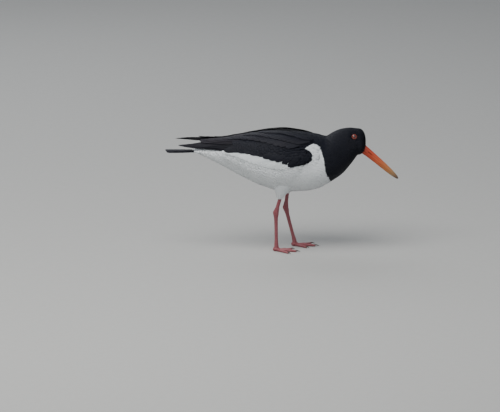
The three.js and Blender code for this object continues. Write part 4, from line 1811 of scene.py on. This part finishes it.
@dataclass
class Wing:
    """A folded wing: its fleshy core and its tiers of feathers."""

    surface: WingSurface
    side: Side
    markings: Markings
    random: np.random.Generator
    vary: float = 0.05
    core_rear: float = -64.0
    core_out: float = -1.3
    core_depth: float = 5.0
    core_grid: tuple[int, int] = (60, 40)
    white_front: float = 12.0
    edge_contrast: float = 30.0
    small_step: float = 3.5
    small_front: float = 2.0
    small_rear: float = -67.0
    small_length: Pair = (8.0, 13.0)
    small_half: float = 0.31
    upper_limit: Pair = (0.14, 0.34)
    edge_margin: Pair = (-0.05, -0.16)

    def core(self) -> MeshData:
        """The dark slab under the feathers, which closes every gap between them.

        Returns:
            The slab's mesh.
        """
        rows, columns = self.core_grid
        x = np.linspace(WING_FRONT - 0.5, self.core_rear, rows)[:, None]
        across = np.linspace(0.01, 0.99, columns)[None]
        outer = self.surface.at(-x, across, self.core_out)
        inner = self.surface.at(-x, across[:, ::-1], -self.core_depth)
        data = capped_tube(np.concatenate([outer, inner], axis=1))
        if self.side is Side.LEFT:
            data.faces = data.faces[:, ::-1]
        ring = np.concatenate([across, across[:, ::-1]], axis=1)
        below = (ring - self.surface.white_share(x)) * self.edge_contrast
        marked = self.markings.white(np.concatenate([outer, inner], axis=1))
        below = np.clip(np.where(x < self.white_front, below, marked), -MARK_LIMIT, MARK_LIMIT)
        data.attributes = {"white": with_caps(below).ravel()}
        return data

    def jitter(self, count: int, size: float) -> Array:
        """Small random steps either way."""
        return self.random.uniform(-size, size, count)

    def tier(self, tier: Tier) -> Leaves:
        """The feathers of one tier.

        Args:
            tier: the tier's plan.

        Returns:
            Its feathers, the lowest layer first.
        """
        fold, count = FOLDS[self.side], tier.count
        t = np.linspace(0, 1, count)
        root = np.stack([mix(tier.roots[0][i], tier.roots[1][i], t) for i in (0, 1)], -1)
        if tier.on_white_edge:
            x = mix(tier.tips[0][0], tier.tips[1][0], t) + self.jitter(count, 0.8)
            tip = np.stack([x, self.surface.white_share(x)], -1)
        else:
            moved = np.clip(t + self.jitter(count, self.vary) / count, 0, 1)
            tip = np.stack([mix(tier.tips[0][i], tier.tips[1][i], moved) for i in (0, 1)], -1)
        parted = smooth(*TIP_SHIFT_ZONE, -tip[:, 0])
        tip[:, 0] += fold.shift * parted
        tip[:, 1] = tip[:, 1] * mix(1, fold.gather, parted) + self.jitter(count, 0.01)
        lift = tier.layer * np.arange(count) + self.jitter(count, 0.04)
        root[:, 0] *= -1
        tip[:, 0] *= -1
        return Leaves(
            root=root,
            tip=tip,
            half=mix(*tier.half, t) * (1 + self.jitter(count, self.vary)),
            out=np.stack([tier.out[0] + lift, tier.out[1] + lift], -1),
            tone=self.random.random(count),
            worn=np.clip(tier.worn * self.random.uniform(0.6, 1.2, count), 0, 1),
            bow=np.full(count, tier.bow) * np.linspace(1, 0.2, count),
            mark=all_white if tier.white else all_black,
            tilt=tier.tilt,
            ridge=0.16,
            thick=0.25,
        )

    def lesser_coverts(self) -> Leaves:
        """The small scale-like feathers that cover the front of the wing.

        Returns:
            The feathers.
        """
        found: list[Array] = []
        places = np.arange(WING_FRONT + self.small_front, self.small_rear, -self.small_step)
        for row, x in enumerate(places):
            span = float(self.surface.width(np.array(-x), np.array(0.5)))
            count = max(int(span / (self.small_step * 1.15)), 3)
            share = (np.arange(count) + 0.5 * (row % 2) + 0.25) / count
            share = share + self.random.uniform(-0.2, 0.2, count) / count
            found.append(np.stack([np.full(count, -x) + self.jitter(count, 0.7), share], -1))
        root = np.concatenate(found)
        count = len(root)
        long = mix(*self.small_length, smooth(-45, 40, root[:, 0])) * self.random.uniform(0.92, 1.08, count)
        tip = root + np.stack([long, np.full(count, 0.03)], -1)
        past = tip[:, 1] - self.surface.white_share(-tip[:, 0])
        margin = mix(*self.edge_margin, smooth(40, 16, tip[:, 0]))
        upper = mix(*self.upper_limit, smooth(-46, 40, root[:, 0]))
        keep = (root[:, 1] > upper) & (root[:, 1] < 0.98) & ((tip[:, 0] < 2) | (past < margin))
        raised = mix(0.2, 1.0, smooth(0.02, 0.16, root[:, 1] - upper))
        leaves = Leaves(
            root=root,
            tip=tip,
            half=long * self.small_half,
            out=np.stack([np.full(count, -0.7), raised * self.random.uniform(1.3, 1.5, count)], -1),
            tone=self.random.random(count),
            worn=0.15 * self.random.random(count),
            mark=self.front_mark,
            stray=0.3,
            tilt=0.1,
            ridge=0.1,
            thick=0.2,
        )
        return leaves.pick(keep)

    def front_mark(self, points: Array) -> Array:
        """The mark of the small coverts: white only where the shoulder's patch reaches them."""
        ahead = (points[..., 0] + 4) * 0.7
        return np.clip(np.minimum(self.markings.white(points), ahead), -MARK_LIMIT, MARK_LIMIT)

    def build(self, plumage: bpy.types.Material, down: bpy.types.Material) -> None:
        """Makes the core and the tiers.

        Args:
            plumage: the feathers' finish.
            down: the core's finish.
        """
        name = f"wing_{self.side.label}"
        add_piece(f"{name}_core", self.core(), down, Fitting("plumage_black", (name,)))
        for tier in WING_TIERS:
            data = lay(self.surface, self.tier(tier), tier.grid, tier.shape, self.random)
            data.maps[BAKE_MAP] = cell_map(tier.count, tier.grid)
            slot = "plumage_white" if tier.white else "plumage_black"
            add_piece(f"{name}_{tier.name}", data, plumage, Fitting(slot))
        leaves, grid = self.lesser_coverts(), LeafGrid(5, 6)
        data = lay(self.surface, leaves, grid, SCALE, self.random)
        places = np.stack([0.05 + 0.9 * leaves.root[:, 1], 0.4 + leaves.root[:, 0] / 180], -1)
        data.maps[BAKE_MAP] = patch_map(places, grid)
        add_piece(f"{name}_lesser_coverts", data, plumage, Fitting("plumage_black"))


@dataclass
class Tail:
    """The tail feathers, white at the root and black behind, and the coverts over and under them."""

    random: np.random.Generator
    pairs: int = 6
    half: float = 4.6
    root_x: float = -100.0
    shorter: float = 0.7
    layer: float = 0.2
    upper_coverts: Table = ((-96.0, 20.0), (-105.0, 20.0), (-114.0, 22.0), (-119.0, 20.5))
    under_coverts: Table = ((-98.0, 24.0), (-106.0, 25.0), (-114.0, 26.0))
    covert_half: float = 4.4
    covert_spread: float = 8.5

    def place(self, along: Array, rank: Array, side: Array) -> Array:
        """How far from the midline feathers of a rank lie at a distance along the tail."""
        outer = TailSurface().half(along) - self.half
        return side * mix(self.half * 0.35, outer, rank / (self.pairs - 1))

    def rectrices(self) -> Leaves:
        """The twelve tail feathers.

        Returns:
            The feathers, the left side's first.
        """
        ranks = np.tile(np.arange(self.pairs), 2)
        side = np.repeat([1.0, -1.0], self.pairs)
        ends = -(TAIL_END_X + self.shorter * ranks * (1 + 0.2 * side))
        start = np.full(len(ranks), -self.root_x)
        height = -self.layer * (ranks + 0.5 * (side < 0))
        count = len(ranks)
        return Leaves(
            root=np.stack([start, self.place(start, ranks, side) * 0.6], -1),
            tip=np.stack([ends, self.place(ends, ranks, side)], -1),
            half=np.full(count, self.half),
            out=np.stack([height, height], -1),
            tone=self.random.random(count),
            # Brown wear on the black band; on the white roots the same value is a little painted shade.
            worn=np.full(count, 0.2),
            mark=black_tipped,
            ridge=0.18,
            thick=0.3,
        )

    def coverts(self, under: bool) -> Leaves:
        """The white feathers over or under the root of the tail.

        Args:
            under: whether they lie on the lower face.

        Returns:
            The feathers.
        """
        found: list[Array] = []
        for row, (x, long) in enumerate(self.under_coverts if under else self.upper_coverts):
            across = np.linspace(-self.covert_spread, self.covert_spread, 7 + row % 2)
            found.append(np.stack([np.full(len(across), -x), across, np.full(len(across), long)], -1))
        table = np.concatenate(found)
        count = len(table)
        long = table[:, 2] * self.random.uniform(0.92, 1.06, count)
        level = -0.2 if not under else 1.2
        order = np.linspace(0, 1, count)
        return Leaves(
            root=table[:, :2],
            tip=np.stack([table[:, 0] + long, table[:, 1] * 1.15], -1),
            half=np.full(count, self.covert_half),
            out=np.stack([np.full(count, level), level + 1.0 - 0.5 * order], -1),
            tone=self.random.random(count),
            worn=np.zeros(count),
            mark=all_white,
            ridge=0.14,
            thick=0.25,
        )

    def build(self, plumage: bpy.types.Material) -> None:
        """Makes the tail.

        Args:
            plumage: the feathers' finish.
        """
        grid = LeafGrid(20, 8)
        data = lay(TailSurface(), self.rectrices(), grid, SQUARE, self.random)
        data.maps[BAKE_MAP] = cell_map(2 * self.pairs, grid)
        add_piece("tail_feathers", data, plumage, Fitting("plumage_black", ("tail",)))
        for name, under in (("tail_coverts_upper", False), ("tail_coverts_under", True)):
            leaves, small = self.coverts(under), LeafGrid(9, 6)
            data = lay(TailSurface(under), leaves, small, BROAD, self.random)
            data.maps[BAKE_MAP] = cell_map(len(leaves.half), small)
            add_piece(name, data, plumage, Fitting("plumage_white"))


@dataclass(frozen=True)
class ToePlan:
    """One toe: its splay from the foot's heading, length, half width and claw."""

    name: str
    splay: float
    long: float
    half: float
    claw: float


TOES: tuple[ToePlan, ...] = (
    ToePlan("inner", 34, 26, 2.6, 6),
    ToePlan("middle", 0, 33, 2.8, 7),
    ToePlan("outer", -33, 29, 2.6, 6),
)


@dataclass
class Leg:
    """A bare leg and foot in one scaly skin, and its claws."""

    plan: LegPlan
    voxel: float = 0.34
    easing: int = 2
    shaft_grid: tuple[int, int] = (130, 28)
    toe_grid: tuple[int, int] = (60, 24)
    pad_grid: tuple[int, int] = (24, 32)
    claw_grid: tuple[int, int] = (24, 16)
    scute: float = 2.1
    scute_high: float = 0.20
    scale_high: float = 0.07
    scale_columns: int = 11
    scale_step: float = 1.75
    foot_top: float = 6.5
    pad_high: float = 3.1
    pad_radii: Triple = (5.9, 4.7, 4.1)

    @property
    def ground(self) -> Array:
        """The place on the floor under the foot's middle."""
        return np.array([self.plan.foot[0], self.plan.foot[1], 0.0])

    def toe_axes(self, toe: ToePlan) -> tuple[Array, Array]:
        """The directions along a toe and across it, both level.

        Args:
            toe: the toe.

        Returns:
            The two directions.
        """
        turn = math.radians(self.plan.heading - self.plan.side.value * toe.splay)
        along = np.array([math.cos(turn), math.sin(turn), 0.0])
        return along, np.array([-along[1], along[0], 0.0])

    def shaft(self) -> MeshData:
        """Shank and tarsus, with the swollen ankle between them.

        Returns:
            The mesh.
        """
        cuff, ankle, foot = (np.array(p, float) for p in (self.plan.cuff, self.plan.ankle, self.plan.foot))
        stations = (
            (mix(cuff, ankle, -0.3), 3.0, 3.0),
            (cuff, 2.9, 2.9),
            (mix(cuff, ankle, 0.55), 2.9, 2.7),
            (mix(cuff, ankle, 0.85), 4.0, 3.4),
            (ankle, 4.6, 3.9),
            (mix(ankle, foot, 0.07), 4.3, 3.8),
            (mix(ankle, foot, 0.17), 3.2, 2.8),
            (mix(ankle, foot, 0.4), 2.8, 2.4),
            (mix(ankle, foot, 0.75), 2.7, 2.4),
            (mix(ankle, foot, 0.92), 3.3, 3.2),
            (foot - np.array([0, 0, 1.5]), 3.8, 3.9),
        )
        limb = LimbSurface([s[0] for s in stations], [s[1] for s in stations], [s[2] for s in stations])
        rows, columns = self.shaft_grid
        down = np.linspace(0, limb.length, rows)[:, None]
        return capped_tube(limb.base(down, full_turn(columns)))

    def toe(self, toe: ToePlan) -> MeshData:
        """A toe with soft pads under its joints, lying on the floor.

        Args:
            toe: the toe's plan.

        Returns:
            The mesh.
        """
        along, aside = self.toe_axes(toe)
        rows, columns = self.toe_grid
        t, turn = np.linspace(0, 1, rows)[:, None], full_turn(columns)
        swell = 1 + 0.10 * np.sin(t * math.pi * 3) ** 2
        half = toe.half * mix(1.05, 0.70, t) * swell * (1 - smooth(0.93, 1.06, t) * 0.6)
        high = half * 0.82
        centre = self.ground + along * (toe.long * t)[..., None]
        points = centre + (half * np.cos(turn))[..., None] * aside
        points[..., 2] = high * 0.90 + high * np.sin(turn)
        return capped_tube(points)

    def pad(self) -> MeshData:
        """The round pad at the root of the toes.

        Returns:
            The mesh.
        """
        rows, columns = self.pad_grid
        polar = np.linspace(0.05, math.pi - 0.05, rows)[:, None]
        turn = full_turn(columns)
        ball = [np.sin(polar) * np.cos(turn), np.sin(polar) * np.sin(turn), np.cos(polar) + 0 * turn]
        return capped_tube(self.ground + [0, 0, self.pad_high] + np.stack(ball, -1) * self.pad_radii)

    def web(self) -> MeshData:
        """The small web between the middle and the outer toe.

        Returns:
            The mesh.
        """
        middle, outer = (self.toe_axes(toe)[0] for toe in TOES[1:])
        foot = self.ground
        s = np.linspace(0, 1, 12)[:, None]
        reach = mix(12.0, 10.5, s) - 5.0 * np.sin(s * math.pi)
        rim = foot + mix(middle, outer, s) * reach
        ring = np.concatenate([rim + [0, 0, 2.6], rim[::-1] + [0, 0, 1.5]])
        core = foot + (ring - foot) * [0.1, 0.1, 1.0]
        return capped_tube(np.stack([core, mix(core, ring, 0.5), ring]))

    def carve(self, data: MeshData) -> None:
        """Raises scutes along the toes and small scales on the leg, and marks the scutes.

        Args:
            data: the leg's skin, which is changed in place.
        """
        points, normals = data.points, vertex_normals(data)
        raised = np.zeros(len(points))
        scute = np.full(len(points), -1.0)
        for toe in TOES:
            run, aside = ((points - self.ground) @ axis for axis in self.toe_axes(toe))
            on_toe = (normals[:, 2] > 0.15) & (points[:, 2] < self.foot_top)
            on_toe &= (run > self.foot_top) & (run < toe.long + 2) & (np.abs(aside) < toe.half * 1.2)
            phase = (run / self.scute) % 1.0
            plate = smooth(0, 0.25, phase) * (1 - smooth(0.8, 1.0, phase))
            height = (plate - 0.4) * self.scute_high * smooth(0.1, 0.5, normals[:, 2])
            raised = np.where(on_toe, height, raised)
            scute = np.where(on_toe, plate, scute)
        upright = points[:, 2] > 9
        turn = np.arctan2(normals[:, 1], normals[:, 0])
        column = turn / (2 * math.pi) * self.scale_columns
        rank = points[:, 2] / self.scale_step + 0.5 * (np.floor(column) % 2)
        cell = np.abs((column % 1.0) - 0.5) * 2
        row = np.abs((rank % 1.0) - 0.5) * 2
        scale = 1 - smooth(0.62, 1.0, np.maximum(cell, row))
        raised = np.where(upright, (scale - 0.5) * self.scale_high * 2, raised)
        data.points = points + normals * raised[:, None]
        data.points[:, 2] = np.maximum(data.points[:, 2], 0.0)
        data.attributes = {"scute": scute}

    def claw(self, toe: ToePlan) -> MeshData:
        """A curved claw that grows from the end of a toe.

        Args:
            toe: the plan of its toe.

        Returns:
            The mesh, with each point's share of the way to its tip.
        """
        along, aside = self.toe_axes(toe)
        rows, columns = self.claw_grid
        t, turn = np.linspace(0, 1, rows)[:, None], full_turn(columns)
        reach = toe.long - 2 + (toe.claw + 2) * t
        rise = 2.1 + 1.0 * np.sin(t * 2.2) - 2.0 * t * t
        size = mix(1.35, 0.16, t**1.3)
        points = self.ground + along * reach[..., None] + (size * 0.85 * np.cos(turn))[..., None] * aside
        points[..., 2] = np.maximum(rise + size * np.sin(turn), 0.03)
        data = capped_tube(points)
        share = t + 0 * turn
        data.attributes = {"along": with_caps(share).ravel()}
        return data

    def build(self, skin: bpy.types.Material, horn: bpy.types.Material) -> None:
        """Makes the leg and its claws.

        Args:
            skin: the leg's finish.
            horn: the claws' finish.
        """
        label = self.plan.side.label
        parts = [self.shaft(), self.pad(), self.web(), *(self.toe(t) for t in TOES)]
        data = remeshed(f"leg_{label}_work", joined(parts), self.voxel, self.easing)
        self.carve(data)
        nodes = [f"leg_{label}_shank", f"leg_{label}_tarsus"]
        nodes += [f"toe_{label}_{t.name}" for t in TOES]
        add_piece(f"leg_{label}_skin", data, skin, Fitting("leg_skin", tuple(nodes)))
        for toe in TOES:
            name = f"claw_{label}_{toe.name}"
            add_piece(f"{name}_horn", self.claw(toe), horn, Fitting("claw", (name,)))


def vertex_normals(data: MeshData) -> Array:
    """The outward direction at each point of a mesh of quads.

    Args:
        data: the mesh.

    Returns:
        A direction of length 1 for each point.
    """
    corners = data.points[data.faces]
    normal = np.cross(corners[:, 2] - corners[:, 0], corners[:, 3] - corners[:, 1])
    total = np.zeros_like(data.points)
    for i in range(4):
        np.add.at(total, data.faces[:, i], normal)
    return total / np.maximum(np.linalg.norm(total, axis=1, keepdims=True), TINY)


@dataclass(frozen=True)
class Studio:
    """The pale floor, the soft lights and the camera."""

    aim: Triple = (-0.0508, 0.0, 0.0698)
    lit: Triple = (0.0, 0.0, 0.13)
    sky: Triple = (0.86, 0.91, 1.0)
    sky_strength: float = 0.34
    distance: float = 12.5
    frame_width: float = 0.8
    sensor: float = 36.0
    floor_tones: tuple[Triple, Triple] = ((0.40, 0.40, 0.385), (0.43, 0.43, 0.415))
    floor_half: float = 9000.0

    def camera(self) -> None:
        """Sets the camera at the photograph's angle and framing."""
        data = bpy.data.cameras.new("camera")
        data.sensor_width = self.sensor
        data.lens = self.sensor * self.distance / self.frame_width
        data.clip_end = 100.0
        camera = place_object("camera", data)
        away = Vector((0, -math.cos(VIEW_RISE), math.sin(VIEW_RISE)))
        camera.location = Vector(self.aim) + away * self.distance
        camera.rotation_euler = (-away).to_track_quat("-Z", "Y").to_euler()
        bpy.context.scene.camera = camera

    def floor(self) -> None:
        """Lays the floor."""
        made = Shader("floor")
        made.set(Base_Color=made.blend(made.noise(90.0), *self.floor_tones), Roughness=0.85)
        corners = np.array([(-1, -1, 0), (1, -1, 0), (1, 1, 0), (-1, 1, 0)], float) * self.floor_half
        floor = place_object("floor", make_mesh("floor", MeshData(corners, np.array([[0, 1, 2, 3]]))))
        floor.data.materials.append(made.material)

    def light(self, name: str, place: Triple, size: float, power: float, colour: Triple) -> None:
        """Adds a soft light that faces the bird.

        Args:
            name: the light's name.
            place: where it hangs, in metres.
            size: the side of its square, in metres.
            power: its power in watts.
            colour: its colour.
        """
        data = bpy.data.lights.new(name, "AREA")
        data.size = size
        data.energy = power
        data.color = colour
        light = place_object(name, data)
        light.location = place
        light.rotation_euler = (Vector(self.lit) - Vector(place)).to_track_quat("-Z", "Y").to_euler()

    def build(self) -> None:
        """Sets up the whole studio."""
        self.camera()
        self.floor()
        self.light("key_light", (-0.7, -1.0, 2.0), 1.6, 60.0, (1.0, 0.99, 0.97))
        self.light("fill_light", (1.6, -1.6, 1.0), 1.8, 7.0, (0.93, 0.96, 1.0))
        self.light("rim_light", (-0.8, 1.6, 1.5), 1.4, 16.0, (0.95, 0.97, 1.0))
        world = bpy.data.worlds.new("sky")
        bpy.context.scene.world = world
        world.use_nodes = True
        background = next(n for n in world.node_tree.nodes if n.type == "BACKGROUND")
        background.inputs["Color"].default_value = (*self.sky, 1.0)
        background.inputs["Strength"].default_value = self.sky_strength


def main() -> None:
    """Builds the bird piece by piece."""
    logging.basicConfig(level=logging.INFO, format="%(name)s %(message)s")
    random = np.random.default_rng(SEED)
    Studio().build()
    body, markings = BodySurface(), Markings()
    wings = {side: WingSurface(side) for side in Side}
    seats = {side: EyeSeat(body, side) for side in Side}
    plumage, down = PlumageFinish().build(), SkinFinish().build()
    Skin(body, markings).build(down)
    Coat(body, markings, wings, list(seats.values()), random).build(plumage)
    for side in Side:
        Wing(wings[side], side, markings, random).build(plumage, down)
    Tail(random).build(plumage)
    Bill().build(BillFinish().build())
    ball, ring = EyeFinish().build(), LidFinish().build()
    for side in Side:
        Eye(seats[side], side).build(ball, ring)
    leg_skin, horn = LegFinish().build(), HornFinish().build()
    for plan in LEGS:
        ThighCoat(plan, random).build(plumage)
        Leg(plan).build(leg_skin, horn)


if __name__ == "__main__":
    main()
